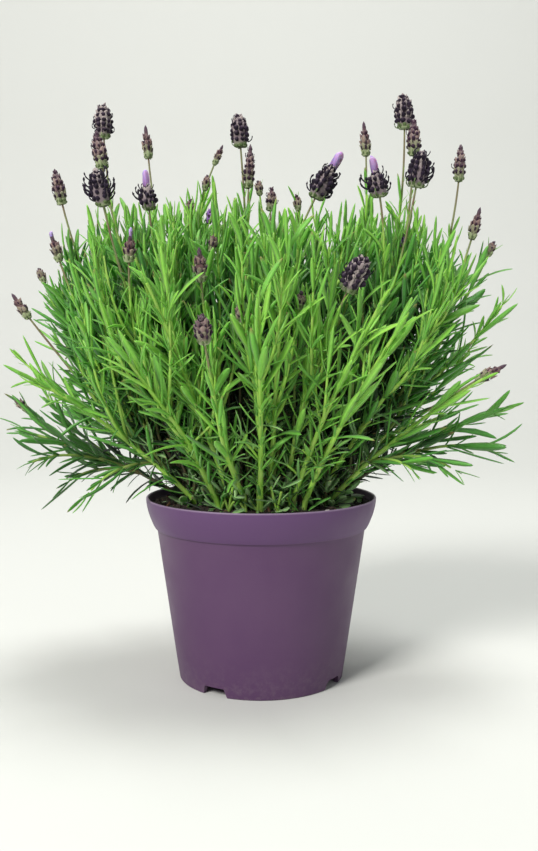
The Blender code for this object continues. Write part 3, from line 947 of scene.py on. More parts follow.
# %% Calyx and hook
def swept(name, stations, sides, ribs=0.0):
    """A closed tube through stations of (centre, radius, tone)."""
    bm = bmesh.new()
    tone = bm.verts.layers.float.new("along")
    rings = []
    for k, (centre, radius, shade) in enumerate(stations):
        after = Vector(stations[min(k + 1, len(stations) - 1)][0])
        before = Vector(stations[max(k - 1, 0)][0])
        turn = (after - before).to_track_quat("Z", "Y")
        ring = []
        for i in range(sides):
            angle = math.tau * i / sides
            reach = radius * (1 + (ribs if i % 2 else 0))
            vert = bm.verts.new(Vector(centre) + turn @ Vector((math.cos(angle), math.sin(angle), 0)) * reach)
            vert[tone] = shade
            ring.append(vert)
        rings.append(ring)
    for lower, upper in zip(rings, rings[1:]):
        for i in range(sides):
            bm.faces.new((lower[i - 1], lower[i], upper[i], upper[i - 1]))
    bm.faces.new(rings[0])
    bm.faces.new(rings[-1])
    bmesh.ops.recalc_face_normals(bm, faces=bm.faces)
    return mesh_object(name, bm)


# height, radius and how pale the calyx is there
CALYX_OUTLINE = (
    (0, 0.14, 0.7), (0.25, 0.25, 0.4), (0.55, 0.35, 0.0),
    (0.8, 0.34, 0.0), (0.95, 0.22, 0.1), (1.0, 0.08, 0.5),
)
CALYX_BOWS = (0.05, -0.12, 0.18)
HOOK_CURLS = ((2.2, 0.62), (1.7, 0.75), (2.6, 0.5))


def calyx(name, bow):
    stations = [((bow * h * h, 0, h), radius, tone) for h, radius, tone in CALYX_OUTLINE]
    return swept(name, stations, 6, ribs=0.12)


def hook(name, curl, reach):
    stations = []
    for i in range(9):
        share = i / 8
        angle = curl * share
        place = (reach * math.sin(angle), 0, reach * (1 - math.cos(angle)) * 0.95 + 0.2 * share)
        knob = 0.05 if i == 7 else 0.02 if i == 4 else 0
        stations.append((place, 0.09 - 0.03 * share + knob, 0.0))
    return swept(name, stations, 5)


calyx_shapes = hidden_set("calyxes", [calyx(f"calyx_{i}", bow) for i, bow in enumerate(CALYX_BOWS)])
hook_shapes = hidden_set("hooks", [hook(f"hook_{i}", *curl) for i, curl in enumerate(HOOK_CURLS)])

# %% [markdown]
# ## Growing a shoot
# The input of this tree is a bundle of lines: the stem, its side shoots and, for a flowering
# one, the short line up the middle of the head. Points on the lines store their girth, their
# age with painted shade added, and how leafy they are. The tree then does what the plant does.
# *Leaf pairs* puts two opposite leaves at every joint, each pair turned a quarter from the last.
# *Whorls* puts rings of pieces round the head line, wide in the middle and narrow at the top.
# Both end by making the instances real and giving them their finish.


# %% Leaf pairs group
def make_leaf_pairs():
    tree = Growth(
        "leaf pairs", Curve="Geometry", Leaves="Collection", Spacing=0.007, Leaf_Length=0.028,
        Young_Opening=0.3, Old_Opening=1.0, Seed=1, Finish="Material",
    )
    given, seed = tree.given, tree.given["Seed"]
    joints = tree.add("GeometryNodeCurveToPoints", given["Curve"], given["Spacing"], mode="LENGTH")
    points = tree.store(joints, "aim", joints["Rotation"], "QUATERNION")
    points = tree.store(points, "pair", tree.add("GeometryNodeInputIndex"))
    aim = tree.named("aim", "QUATERNION")
    slide = tree.vector(0.0, 0.0, tree.chance(-0.35, 0.35, seed + 6.0) * given["Spacing"])
    points = tree.moved(points, slide, aim)
    # Each joint has a pair of full leaves, and crosswise between them a pair of small ones.
    doubled = tree.add("GeometryNodeDuplicateElements", points, None, 4, domain="POINT")
    side = doubled["Duplicate Index"]
    is_small = side > 1.5
    around = tree.named("pair") * (math.pi / 2 + 0.05) + side * math.pi + tree.chance(-0.5, 0.5, seed)
    around = around + is_small * (math.pi / 2)
    lean = tree.named("spread").rescaled(0.0, 1.0, given["Young Opening"], given["Old Opening"])
    lean = lean + tree.chance(-0.16, 0.22, seed + 1.0) + tree.named("rosette") * 0.25
    length = given["Leaf Length"] * tree.named("leafy") * tree.chance(0.55, 1.18, seed + 2.0)
    length = length * is_small.rescaled(0.0, 1.0, 1.0, 0.5)
    size = tree.vector(length, length * tree.chance(0.85, 1.25, seed + 3.0), length)
    # A rosette takes the broad leaf, which is the last of the shapes.
    which = tree.chance(0, 4, seed + 4.0, "INT").math("MAXIMUM", tree.named("rosette") * 5.0)
    is_leafy = tree.named("leafy") > 0.12
    rotation = tree.turned(aim, 0.0, lean, around)
    return tree.tinted(tree.placed(doubled, is_leafy, given["Leaves"], which, rotation, size))


leaf_pairs = make_leaf_pairs()
print("group:", leaf_pairs.name)


# %% Whorls group
def head_outline(height, taper):
    """How wide the head is at a height from 0 to 1, as a share of its full width."""
    oval = ((height * 0.68 + 0.22) * math.pi).math("SINE") ** 0.75
    return oval * (1.0 - height * taper)


def make_whorls():
    tree = Growth(
        "whorls", Curve="Geometry", Pieces="Collection", Tiers=7, Around=8, Turn=0.0, Width=0.01,
        Taper=0.0, Length=0.004, Breadth=1.0, Low_Opening=0.9, High_Opening=0.3, Share=1.0, Seed=1,
        Finish="Material",
    )
    given, seed = tree.given, tree.given["Seed"]
    tiers = tree.add("GeometryNodeCurveToPoints", given["Curve"], given["Tiers"], mode="COUNT")
    points = tree.store(tiers, "aim", tiers["Rotation"], "QUATERNION")
    tier = tree.add("GeometryNodeInputIndex").math("MODULO", given["Tiers"])
    points = tree.store(points, "height", tier / (given["Tiers"] - 1.0))
    ringed = tree.add("GeometryNodeDuplicateElements", points, None, given["Around"], domain="POINT")
    around = (ringed["Duplicate Index"] + given["Turn"]) * (math.tau / given["Around"])
    around = around + tree.chance(-0.16, 0.16, seed)
    high = tree.named("height")
    outline = head_outline(high, given["Taper"])
    opening = high.rescaled(0.0, 1.0, given["Low Opening"], given["High Opening"])
    opening = opening + tree.chance(-0.2, 0.2, seed + 1.0)
    length = given["Length"] * outline.rescaled(0.15, 0.9, 0.5, 1.0) * tree.chance(0.8, 1.2, seed + 2.0)
    breadth = length * given["Breadth"]
    # The pieces' far ends lie on the outline, so each starts further in by its own reach.
    reach = given["Width"] * 0.5 * outline - length * opening.math("SINE")
    arm = tree.vector(reach.math("MAXIMUM", 0.0), 0.0, tree.chance(-0.0005, 0.0005, seed + 6.0))
    facing = tree.turned(tree.named("aim", "QUATERNION"), 0.0, 0.0, around)
    moved = tree.moved(ringed, arm, facing)
    kept = tree.chance(0.0, 1.0, seed + 3.0) < given["Share"]
    which = tree.chance(0, 2, seed + 4.0, "INT")
    rotation = tree.turned(facing, 0.0, opening, 0.0)
    size = tree.vector(breadth, breadth, length)
    return tree.tinted(tree.placed(moved, kept, given["Pieces"], which, rotation, size))


whorls = make_whorls()
print("group:", whorls.name)


# %% The whole shoot
def make_shoot_tree():
    tree = Growth(
        "grow shoot", Geometry="Geometry", Spacing=0.007, Leaf_Length=0.028, Tiers=7, Around=8,
        Head_Width=0.01, Taper=0.0, Finger=0.0, Opening=1.15, Calyx_Length=0.004, Calyx_Breadth=1.0,
        Scale_Spread=0.9, Hooks=0.0, Hook_Length=0.004, Seed=1, Leaf_Shapes="Collection",
        Calyx_Shapes="Collection", Scale_Shapes="Collection", Hook_Shapes="Collection",
        Stem_Finish="Material", Leaf_Finish="Material", Calyx_Finish="Material", Scale_Finish="Material",
    )
    given, seed = tree.given, tree.given["Seed"]
    is_head = tree.named("head") > 0.5
    parts = tree.add("GeometryNodeSeparateGeometry", given["Geometry"], is_head, domain="POINT")
    head_lines = tree.add("GeometryNodeMeshToCurve", parts["Selection"])
    lines = tree.add("GeometryNodeMeshToCurve", parts["Inverted"])
    section = tree.add("GeometryNodeCurvePrimitiveCircle", 8)
    tree.fill(section.node.inputs["Radius"], 1.0)
    stalks = tree.add("GeometryNodeCurveToMesh", lines, section, tree.named("girth"), True)
    leaves = tree.use(
        leaf_pairs, Curve=lines, Leaves=given["Leaf Shapes"], Spacing=given["Spacing"],
        Leaf_Length=given["Leaf Length"], Young_Opening=0.34, Old_Opening=0.95, Seed=seed,
        Finish=given["Leaf Finish"],
    )
    # The whorls fill the lower part of the head. Above them the core goes on as a folded tip.
    width, length = given["Head Width"], given["Calyx Length"]
    whorled = 1.0 - given["Finger"]
    along = tree.add("GeometryNodeSplineParameter")["Factor"]
    outline = head_outline((along / whorled).math("MINIMUM", 1.0), given["Taper"])
    closing = (1.02 - along ** 10.0).math("SQRT")
    core_width = width * (outline * 0.40).math("MAXIMUM", 0.17) * closing
    core_line = tree.add("GeometryNodeResampleCurve", head_lines, None, 14)
    core_line = tree.store(core_line, "height", along)
    core = tree.add("GeometryNodeCurveToMesh", core_line, section, core_width, True)
    head = {name: given[name] for name in ("Tiers", "Around", "Taper")}
    head["Curve"] = tree.add("GeometryNodeTrimCurve", head_lines, None, 0.0, whorled)
    calyxes = tree.use(
        whorls, **head, Pieces=given["Calyx Shapes"], Length=length, Width=width,
        Breadth=given["Calyx Breadth"], Low_Opening=given["Opening"], High_Opening=0.35, Seed=seed,
        Finish=given["Calyx Finish"],
    )
    scales = tree.use(
        whorls, **head, Pieces=given["Scale Shapes"], Length=length * 1.35,
        Width=width * given["Scale Spread"], Turn=0.5, Low_Opening=0.42, High_Opening=0.12,
        Seed=seed + 40.0, Finish=given["Scale Finish"],
    )
    hooks = tree.use(
        whorls, **head, Pieces=given["Hook Shapes"], Length=given["Hook Length"], Width=width * 0.92,
        Low_Opening=0.25, High_Opening=-0.1, Share=given["Hooks"], Seed=seed + 80.0,
        Finish=given["Calyx Finish"],
    )
    stalks, core = tree.painted(stalks, "Stem Finish"), tree.painted(core, "Scale Finish")
    joined = tree.add("GeometryNodeJoinGeometry")
    for piece in (stalks, leaves, core, calyxes, scales, hooks):
        tree.fill(joined.node.inputs[0], piece)
    return tree.done(tree.add("GeometryNodeSetShadeSmooth", joined))


shoot_tree = make_shoot_tree()
print("tree:", shoot_tree.name)

# %% [markdown]
# ## Leaf, stem and flower finishes
# Outer leaves, young and in the light, are painted bright yellow-green, and grown ones a fuller
# green. Leaves deep inside the plant are very dark: painted shade, as well as older leaves. The
# broad leaves of the rosettes are greyish with down. Light passes through thin leaves, so a
# little subsurface scattering keeps the shaded sides alive. The midrib is paler. Stems are
# bright green, brown on the bare stalks, and woody at the foot; deep inside the plant they get
# painted shade too.
# Calyxes are nearly black, and the scales between them a dusty grey mauve.


# %% Plant finishes
def make_leaf_finish():
    finish = Finish(
        "leaf green", 0.5, Subsurface_Weight=0.2, Subsurface_Scale=0.001,
        Subsurface_Radius=(0.35, 1.0, 0.15), Sheen_Weight=0.06,
    )
    age, tint, rosette, along, across = finish.attributes("age tint rosette along across")
    # painted light as well as youth: the bright green of the outer leaves in the light
    young_and_lit = finish.blended(tint, (0.30, 0.62, 0.075), (0.17, 0.47, 0.060))
    grown = finish.blended(tint, (0.112, 0.40, 0.045), (0.058, 0.232, 0.039))
    # painted shade: the very dark green of leaves deep inside the plant, which are older too
    old_and_shaded = finish.blended(tint, (0.009, 0.034, 0.008), (0.003, 0.012, 0.003))
    downy = finish.blended(tint, (0.18, 0.38, 0.12), (0.40, 0.62, 0.27))
    body = finish.blended(age.rescaled(0.0, 0.5), young_and_lit, grown)
    body = finish.blended(age.rescaled(0.5, 1.0), body, old_and_shaded)
    body = finish.blended(rosette * 0.8, body, downy)
    paler = finish.blended(1.0, body, (1.35, 1.25, 1.3), "MULTIPLY")
    body = finish.blended(along.rescaled(0.0, 0.5, 0.8, 0.0), body, paler)
    body = finish.blended(across.math("ABSOLUTE").rescaled(0.0, 0.3, 0.8, 0.0), body, paler)
    darker = finish.blended(1.0, body, (0.66, 0.78, 0.66), "MULTIPLY")
    body = finish.mottled(body, darker, 0.006, 0.5)
    dry = along.rescaled(0.86, 1.0) * (tint > 0.9)
    finish.give(
        Base_Color=finish.blended(dry, body, (0.25, 0.16, 0.05)),
        Roughness=tint.rescaled(0.0, 1.0, 0.42, 0.58),
    )
    finish.bump(0.3, 0.0001, Grain_Size=0.0006)
    return finish.material


def make_stem_finish():
    finish = Finish("square stem", 0.6, Subsurface_Weight=0.1, Subsurface_Scale=0.001)
    age, bare = finish.attributes("age bare")
    green = finish.mottled((0.30, 0.58, 0.07), (0.36, 0.54, 0.12), 0.008, 0.8)
    # dark wood at the foot, which also paints shade on stems deep inside the plant
    wood_and_shade = finish.mottled((0.045, 0.06, 0.02), (0.10, 0.06, 0.03), 0.003, 1.0)
    stalk = finish.mottled((0.22, 0.26, 0.11), (0.18, 0.12, 0.07), 0.012, 1.0)
    body = finish.blended(age.rescaled(0.45, 1.0), green, wood_and_shade)
    finish.give(Base_Color=finish.blended(bare, body, stalk))
    finish.bump(0.5, 0.0002, Grain_Size=0.0008)
    return finish.material


def make_calyx_finish():
    finish = Finish(
        "dark calyx", 0.75, Specular_IOR_Level=0.3, Sheen_Weight=0.04, Sheen_Roughness=0.5,
        Sheen_Tint=(0.7, 0.6, 0.85),
    )
    tint, along, height, bloom = finish.attributes("tint along height bloom")
    youth = bloom.rescaled(0.0, 1.0)
    red = youth * height.rescaled(0.2, 1.0, 0.3, 1.0)
    body = finish.blended(tint, (0.006, 0.003, 0.011), (0.016, 0.008, 0.026))
    body = finish.blended(red, body, (0.055, 0.020, 0.042))
    body = finish.blended(height.rescaled(0.0, 0.16, 0.85, 0.0), body, (0.12, 0.18, 0.06))
    mauve = finish.blended(youth, (0.12, 0.085, 0.11), (0.13, 0.06, 0.10))
    finish.give(Base_Color=finish.blended(along, body, mauve))
    finish.bump(0.6, 0.0002, Grain_Size=0.0005)
    return finish.material


def make_scale_finish():
    finish = Finish("mauve scale", 0.8, Sheen_Weight=0.2, Sheen_Roughness=0.5)
    tint, height, bloom = finish.attributes("tint height bloom")
    youth = bloom.rescaled(0.0, 1.0)
    dusty = finish.blended(tint, (0.20, 0.155, 0.17), (0.42, 0.36, 0.34))
    brown = finish.blended(tint, (0.13, 0.065, 0.070), (0.28, 0.185, 0.155))
    violet = finish.blended(tint, (0.22, 0.09, 0.36), (0.36, 0.18, 0.50))
    body = finish.blended(youth, dusty, brown)
    green_top = youth.rescaled(0.0, 1.0, 0.14, 0.45)
    body = finish.blended(height.rescaled(0.0, green_top, 0.95, 0.0), body, (0.30, 0.37, 0.18))
    tip = height.rescaled(0.68, 0.9, 0.0, 0.9) * youth
    body = finish.blended(tip, body, (0.050, 0.022, 0.050))
    finish.give(Base_Color=finish.blended(bloom.rescaled(1.0, 2.0), body, violet))
    finish.bump(0.6, 0.0002, Grain_Size=0.0005)
    return finish.material


def make_violet():
    finish = Finish("violet petal", 0.55, Subsurface_Weight=0.3, Subsurface_Scale=0.001)
    tint, along = finish.attributes("tint along")
    body = finish.blended(tint, (0.22, 0.11, 0.34), (0.30, 0.13, 0.40))
    finish.give(Base_Color=finish.blended(along, body, (0.60, 0.42, 0.80)))
    finish.bump(0.4, 0.0001, Grain_Size=0.0007)
    return finish.material


shapes = {
    "Leaf_Shapes": leaf_shapes,
    "Calyx_Shapes": calyx_shapes,
    "Scale_Shapes": scale_shapes,
    "Hook_Shapes": hook_shapes,
    "Stem_Finish": make_stem_finish(),
    "Leaf_Finish": make_leaf_finish(),
    "Calyx_Finish": make_calyx_finish(),
    "Scale_Finish": make_scale_finish(),
}
violet_finish = make_violet()
print(len(bpy.data.materials), "finishes")

# %% [markdown]
# ## The lines of each shoot
# A line is a chain of points. The main stem follows the stem's curve with a slight wobble.
# Side shoots leave it and turn up towards the light until they reach the outside of the
# plant, which is a rounded box. How deep a point lies inside that box adds painted shade to
# the age of its leaves: only the outer ones get light, so the inner ones are painted dark,
# and they are older too. The front stood towards the light, so it gets less painted shade.
# Near the soil grow rosettes of broad leaves and, on the stems at the front, small sprouts.
# Old twigs, whose leaves are painted dark as shade, fill the inside.


# %% Lines
class Lines:
    """Collects chains of points with their stored numbers, and makes them an object."""

    NUMBERS = ("girth", "age", "spread", "leafy", "rosette", "bare", "head", "bloom")

    def __init__(self):
        self.points, self.edges = [], []
        self.stored = {name: [] for name in self.NUMBERS}

    def chain(self, points, shade=1.0, **numbers):
        """Adds a chain. Each number is plain, or a function of the share of the way along.

        The age grows with the depth in the plant, which paints shade on what lies inside,
        and a shade below 1 brings it down again.
        """
        start = len(self.points)
        for i, point in enumerate(points):
            self.points.append(point)
            for name, values in self.stored.items():
                value = numbers.get(name, 0.0)
                values.append(float(value(i / (len(points) - 1)) if callable(value) else value))
            # painted shade: the deeper a point lies in the plant, the higher its stored age and the darker
            # its leaves and stem
            own, depth = self.stored["age"][-1], inner(point)
            self.stored["age"][-1] = min(0.35 * own + 0.8 * depth, 1) * shade
            ahead = (points[min(i + 1, len(points) - 1)] - points[max(i - 1, 0)]).normalized()
            if hides_head(point + ahead * 0.013):
                self.stored["leafy"][-1] *= 0.5
        self.edges += [(i, i + 1) for i in range(start, len(self.points) - 1)]

    def make(self, name):
        mesh = bpy.data.meshes.new(name)
        mesh.from_pydata(self.points, self.edges, [])
        for key, values in self.stored.items():
            mesh.attributes.new(key, "FLOAT", "POINT").data.foreach_set("value", values)
        made = bpy.data.objects.new(name, mesh)
        bpy.context.collection.objects.link(made)
        return made


# The side shoots end inside a body of this size, so that their leaves reach just out of it.
BODY_HEIGHT = 0.141
BODY_WIDTH = 0.220
BODY_DEPTH = 0.170
BODY_SHIFT = -0.006
FRONT_FEET = -0.012
LONG_STALKED = "a b c d f k u v w y ai aj".split()
heads = [stem.at(1 - stem.head_length / stem.length / 2) for stem in stems if stem.head_length]


def smooth_step(low, high, value):
    share = min(max((value - low) / (high - low), 0), 1)
    return share * share * (3 - 2 * share)


def inner(point):
    """How deep a point lies inside the plant, from 0 in the light to 1 in the dark."""
    high = (point.z - SOIL_TOP) / FOLIAGE_HEIGHT
    radius = math.hypot(point.x / (SPREAD_WIDTH / 2), (point.y - 0.02) / (SPREAD_DEPTH / 2))
    local = 0.44 + 0.46 * smooth_step(0, 0.6, high)
    low = 1 - smooth_step(0.05, 0.45, high)
    lit = max(smooth_step(0.5, 0.95, high), smooth_step(0.62, 1.05, radius / local))
    depth = min(1 - lit + low, 1)
    return depth * (1 - 0.75 * smooth_step(0.028, 0.044, -point.y))


def crowding(point):
    """How far out a point lies in the body of leaves, which widens upwards. It is 1 outside."""
    rise = (point.z - SOIL_TOP) / BODY_HEIGHT
    girth = 0.44 + 0.56 * smooth_step(0, 0.75, rise)
    aside = (point.x - BODY_SHIFT) / (BODY_WIDTH / 2 * girth)
    back = point.y / (BODY_DEPTH / 2 * girth)
    return sum(abs(share) ** 3 for share in (aside, back, max(rise, 0) ** 2))


def hides_head(point):
    """Whether a leaf here would stand over or in front of a flower head."""
    for head in heads:
        past = point - head
        beside = abs(past.x) < 0.013 and abs(past.z) < 0.020 and past.y < 0.004
        above = past.xy.length < 0.016 and past.z > -0.016
        if beside or above:
            return True
    return False


def main_line(lines, stem, random):
    """The main stem, up to its tip or to the foot of its flower head."""
    end = 1 - (stem.head_length or 0.020) / stem.length
    phase, sway = random.uniform(0, math.tau), random.uniform(0.0004, 0.0012)
    points = []
    for i in range(29):
        t = end * i / 28
        side = stem.heading(t).orthogonal().normalized()
        calm = math.sin(math.pi * i / 28)
        points.append(stem.at(t) + side * sway * calm * math.sin(phase + 7 * t))
    points[0] = points[0] - UP * 0.0035
    front = smooth_step(0.010, 0.026, -stem.foot.y)
    thick = 0.0011 + 0.0003 * front
    low_leaf = 0.45 + 0.10 * front
    numbers = {
        # stems at the front stand in the light, so they get less painted shade
        "shade": 0.45 if stem.foot.y < FRONT_FEET else 1.0,
        "age": lambda s: 1 - smooth_step(0, 0.85, s),
        "spread": lambda s: (1 - 0.35 * front) * (1 - smooth_step(0.1, 0.8, s)),
    }
    if stem.head_length:
        shown = (0.026, 0.036) if stem.name.rsplit("_")[-1] in LONG_STALKED else (0.006, 0.012)
        bare = 1 - random.uniform(*shown) / (stem.length * end)
        lines.chain(
            points,
            girth=lambda s: thick - (thick - 0.0005) * s,
            leafy=lambda s: (low_leaf + (1 - low_leaf) * smooth_step(0, 0.35, s))
            * (1 - 0.45 * smooth_step(bare - 0.3, bare, s))
            * (s < bare),
            bare=lambda s: smooth_step(bare - 0.05, bare, s),
            **numbers,
        )
    else:
        lines.chain(
            points,
            girth=lambda s: thick - (thick - 0.0007) * s,
            leafy=lambda s: low_leaf
            + (1 - low_leaf) * smooth_step(0, 0.4, s)
            - 0.30 * smooth_step(0.75, 1, s),
            **numbers,
        )


def bent(start, bend, end, count=9):
    """Points on a quadratic curve."""
    shares = [i / (count - 1) for i in range(count)]
    return [start * (1 - s) ** 2 + bend * 2 * s * (1 - s) + end * s * s for s in shares]


def side_line(lines, stem, t, most, turn):
    """A side shoot that leaves the stem at t and turns up, until it reaches the outside."""
    heading = stem.heading(t)
    out = Quaternion(heading, turn) @ heading.orthogonal().normalized()
    start = stem.at(t)
    away = Vector((start.x, start.y, 0)) * 2.4
    climb = (heading * 0.45 + UP * 1.1 + out * 0.36 + away).normalized()
    length = 0.01
    while length < most and crowding(start + climb * length) < 1:
        length += 0.002
    while length > 0.014 and hides_head(start + climb * (length + 0.012)):
        length -= 0.004
    if length < 0.014:
        return
    end = start + climb * length
    bend = start + (heading + out * 0.75).normalized() * length * 0.4
    lines.chain(
        bent(start, bend, end),
        girth=lambda s: 0.00085 - 0.0004 * s,
        age=lambda s: 0.6 * (1 - s),
        spread=lambda s: 0.75 * (1 - smooth_step(0.1, 0.9, s)),
        leafy=lambda s: 0.42 + 0.43 * smooth_step(0, 0.5, s) - 0.2 * smooth_step(0.7, 1, s),
    )


PLANTED_RADIUS = RIM_RADIUS - 0.022  # the furthest that a rosette or an old twig starts


def planted(place):
    """The place set on the soil, far enough in that no leaf from it meets the pot."""
    place = place * min(1, PLANTED_RADIUS / place.xy.length)
    place.z = soil_height(place.xy.length) - 0.002
    return place


def rosette(lines, stem, random):
    """A short shoot of broad leaves that comes out of the soil beside the stem."""
    turn = random.uniform(-1.3, 1.3)
    away = Quaternion(UP, turn) @ Vector((stem.foot.x, stem.foot.y, 0)).normalized()
    start = planted(stem.foot + away * random.uniform(0.004, 0.016))
    for k in range(3):
        aside = Vector([random.uniform(-0.004, 0.004) for axis in "xy"] + [random.uniform(0.006, 0.015)])
        lines.chain(
            bent(start, start + away * 0.002 + UP * 0.002, start + away * 0.003 + aside, 5),
            girth=0.0006,
            age=0.5,
            spread=lambda s: 0.85 - 0.3 * s,
            leafy=lambda s: 0.50 - 0.08 * s,
            rosette=1.0,
        )


def sprout(lines, stem, random):
    """A small sprout of broad leaves, low on a stem at the front."""
    start = stem.at(random.uniform(0.06, 0.30))
    aside = random.choice((-1, 1)) * random.uniform(0.3, 0.9)
    lean = Vector((aside, -random.uniform(0.1, 0.8), 1.0)).normalized()
    reach = random.uniform(0.010, 0.020)
    lines.chain(
        bent(start, start + lean.reflect(UP) * -0.003, start + lean * reach, 5),
        girth=0.0006,
        age=0.4,
        spread=lambda s: 0.9 - 0.3 * s,
        leafy=lambda s: 0.56 - 0.12 * s,
        rosette=0.6,
    )


def old_twig(lines, stem, random):
    """A short twig in the heart of the plant. Its leaves, old and painted dark with shade, close the view
    through it.
    """
    start = planted(stem.foot + Vector((random.uniform(-0.006, 0.006), random.uniform(-0.004, 0.004), 0)))
    lean = Vector((start.x * 0.4 + random.uniform(-0.008, 0.008), random.uniform(-0.004, 0.006), 0))
    end = start + lean + UP * random.uniform(0.035, 0.090)
    bend = (start + end) / 2 - lean * 0.2
    # painted shade: age 1 gives the twig's leaves the darkest green
    lines.chain(bent(start, bend, end, 7), girth=0.0007, age=1.0, spread=1.0, leafy=0.5)


def head_line(lines, base, heading, length, bloom):
    points = [base + heading * length * i / 6 for i in range(7)]
    lines.chain(points, girth=0.001, head=1.0, bloom=bloom)


# %% [markdown]
# ## Small buds and long sprays
# Some leafy shoots end in a bud, a small head that hasn't opened yet, and a few long sprays
# lean far out of the plant or hang over the rim. The lists give the places of their ends.
# Each grows as an extra side shoot of the leafy stem that passes nearest.

# %% Buds and sprays
# right, back and up in metres, then 1 for a brown bud or 2 for a violet one
BUDS = (
    (-0.1140, 0.000, 0.2130, 1),
    (-0.0390, 0.010, 0.2500, 1),
    (-0.0310, 0.020, 0.2650, 1),
    (-0.0010, 0.030, 0.2640, 1),
    (0.0200, 0.020, 0.2540, 1),
    (-0.0270, -0.010, 0.2430, 2),
    (-0.0240, -0.040, 0.2250, 1),
    (0.0720, -0.010, 0.2310, 2),
    (0.1190, 0.000, 0.2270, 1),
    (-0.0080, -0.065, 0.1900, 1),
    (0.0180, -0.060, 0.1960, 1),
    (-0.1230, 0.000, 0.1460, 1),
)
BUD_LENGTH = 0.0085
BUD_WIDTH = 0.0048

# right, back and up in metres of the ends of long leafy side shoots
SPRAYS = (
    (0.1240, -0.010, 0.1920),
    (0.1120, 0.010, 0.1700),
    (0.1160, -0.020, 0.1180),
    (0.0920, -0.040, 0.1120),
    (0.0720, -0.045, 0.1120),
    (-0.1280, 0.000, 0.1660),
    (-0.1160, 0.015, 0.1440),
    (-0.1140, -0.025, 0.1130),
    (-0.0820, -0.040, 0.1010),
    (-0.0980, -0.010, 0.1020),
    (-0.1020, 0.000, 0.2160),
    (-0.1000, 0.015, 0.1960),
)


def share_out(places, stems, height):
    """Gives each place to the leafy stem that passes nearest to it at a share of its length."""
    leafy = [stem for stem in stems if not stem.head_length]
    shared = {}
    for right, back, up, *rest in places:
        place = Vector((right, back, up))
        nearest = min(leafy, key=lambda stem: (stem.at(height) - place).length)
        shared.setdefault(nearest.name, []).append((place, *rest))
    return shared


def reaching_line(lines, start, end):
    """A leafy side shoot that ends at a given place. One that ends low first arches up."""
    length = (end - start).length
    arch = 0.22 * length if end.z < start.z + 0.015 else -0.004
    bend = (start + end) / 2 + Vector((end.x, end.y, 0)).normalized() * 0.12 * length + UP * arch
    lines.chain(
        bent(start, bend, end, 13),
        girth=lambda s: 0.0010 - 0.0005 * s,
        age=lambda s: 0.5 * (1 - s),
        spread=lambda s: 0.8 * (1 - s),
        leafy=lambda s: 0.6 + 0.35 * smooth_step(0, 0.5, s) - 0.5 * smooth_step(0.7, 1, s),
    )
    return (end - bend).normalized()


def bud_line(lines, stem, place, bloom):
    base = place - UP * BUD_LENGTH
    heading = reaching_line(lines, stem.at(0.35), base)
    head_line(lines, base, heading, BUD_LENGTH, bloom)


# %% [markdown]
# Now every shoot grows. Leafy shoots carry more side shoots than flowering ones. Heads come
# in five kinds. The oldest are nearly black, with the dark hooks of withered flowers. Full
# ones show columns of dark knobs between pale scales. Pointed ones are slimmer, and one head
# has faded. The youngest are slim too, and end in a folded reddish tip.

# %% Grow all shoots
SKIRT_TOP = SOIL_TOP + SKIRT_HEIGHT + 0.03
SKIRT_SIDES = 2
FLOWERING_SIDES = 6
LEAFY_SIDES = 8
FILLERS = 9
FRONT_SPROUTS = 2
FRONT_TWIGS = 3
INNER_TWIGS = 6
JOINT_SPACING = 0.0080
LEAF_LENGTH = 0.028
TIER_HEIGHT = 0.0027
FINE_HEAD = 0.008
HEAD_NUMBERS = "bloom Taper Finger Opening Calyx_Breadth Scale_Spread Hooks Hook_Length".split()
# the letters of the heads, then the numbers named above
HEAD_KINDS = (
    ("c e r w z", 0.0, 0.15, 0.0, 0.9, 0.9, 0.72, 0.42, 0.0050),
    ("a k u ad", 0.1, 0.12, 0.06, 1.0, 1.0, 0.95, 0.25, 0.0034),
    ("b f n p v y", 0.8, 0.42, 0.16, 0.8, 0.85, 1.08, 0.2, 0.0028),
    ("af", 0.8, 0.10, 0.0, 0.5, 0.6, 1.05, 0.0, 0.0018),
    ("d g h m x ab ae ai aj", 1.0, 0.40, 0.25, 0.45, 0.6, 1.25, 0.0, 0.0018),
)
KIND_OF = {}
for letters, *numbers in HEAD_KINDS:
    KIND_OF.update(dict.fromkeys(letters.split(), dict(zip(HEAD_NUMBERS, numbers))))
YOUNG = KIND_OF["d"]


def all_lines(stem, random):
    """The main stem with everything that grows from it, but not the flower head."""
    lines = Lines()
    main_line(lines, stem, random)
    in_skirt = not stem.head_length and stem.tip.z < SKIRT_TOP
    in_front = stem.foot.y < FRONT_FEET
    for _ in range(SKIRT_SIDES if in_skirt else FLOWERING_SIDES if stem.head_length else LEAFY_SIDES):
        t = random.uniform(0.28, 0.8) if in_skirt or in_front else random.uniform(0.16, 0.62)
        most = random.uniform(0.02, 0.06) if in_skirt else random.uniform(0.045, 0.11)
        side_line(lines, stem, t, most, random.uniform(0, math.tau))
    for _ in range(0 if in_skirt or in_front else FILLERS):
        t, most = random.uniform(0.12, 0.5), random.uniform(0.02, 0.05)
        side_line(lines, stem, t, most, random.uniform(0, math.tau))
    rosette(lines, stem, random)
    for _ in range(FRONT_SPROUTS if in_front else 0):
        sprout(lines, stem, random)
    for _ in range(FRONT_TWIGS if in_front else INNER_TWIGS):
        old_twig(lines, stem, random)
    for place, bloom in buds.get(stem.name, ()):
        bud_line(lines, stem, place, bloom)
    for (place,) in sprays.get(stem.name, ()):
        reaching_line(lines, stem.at(0.25), place)
    return lines


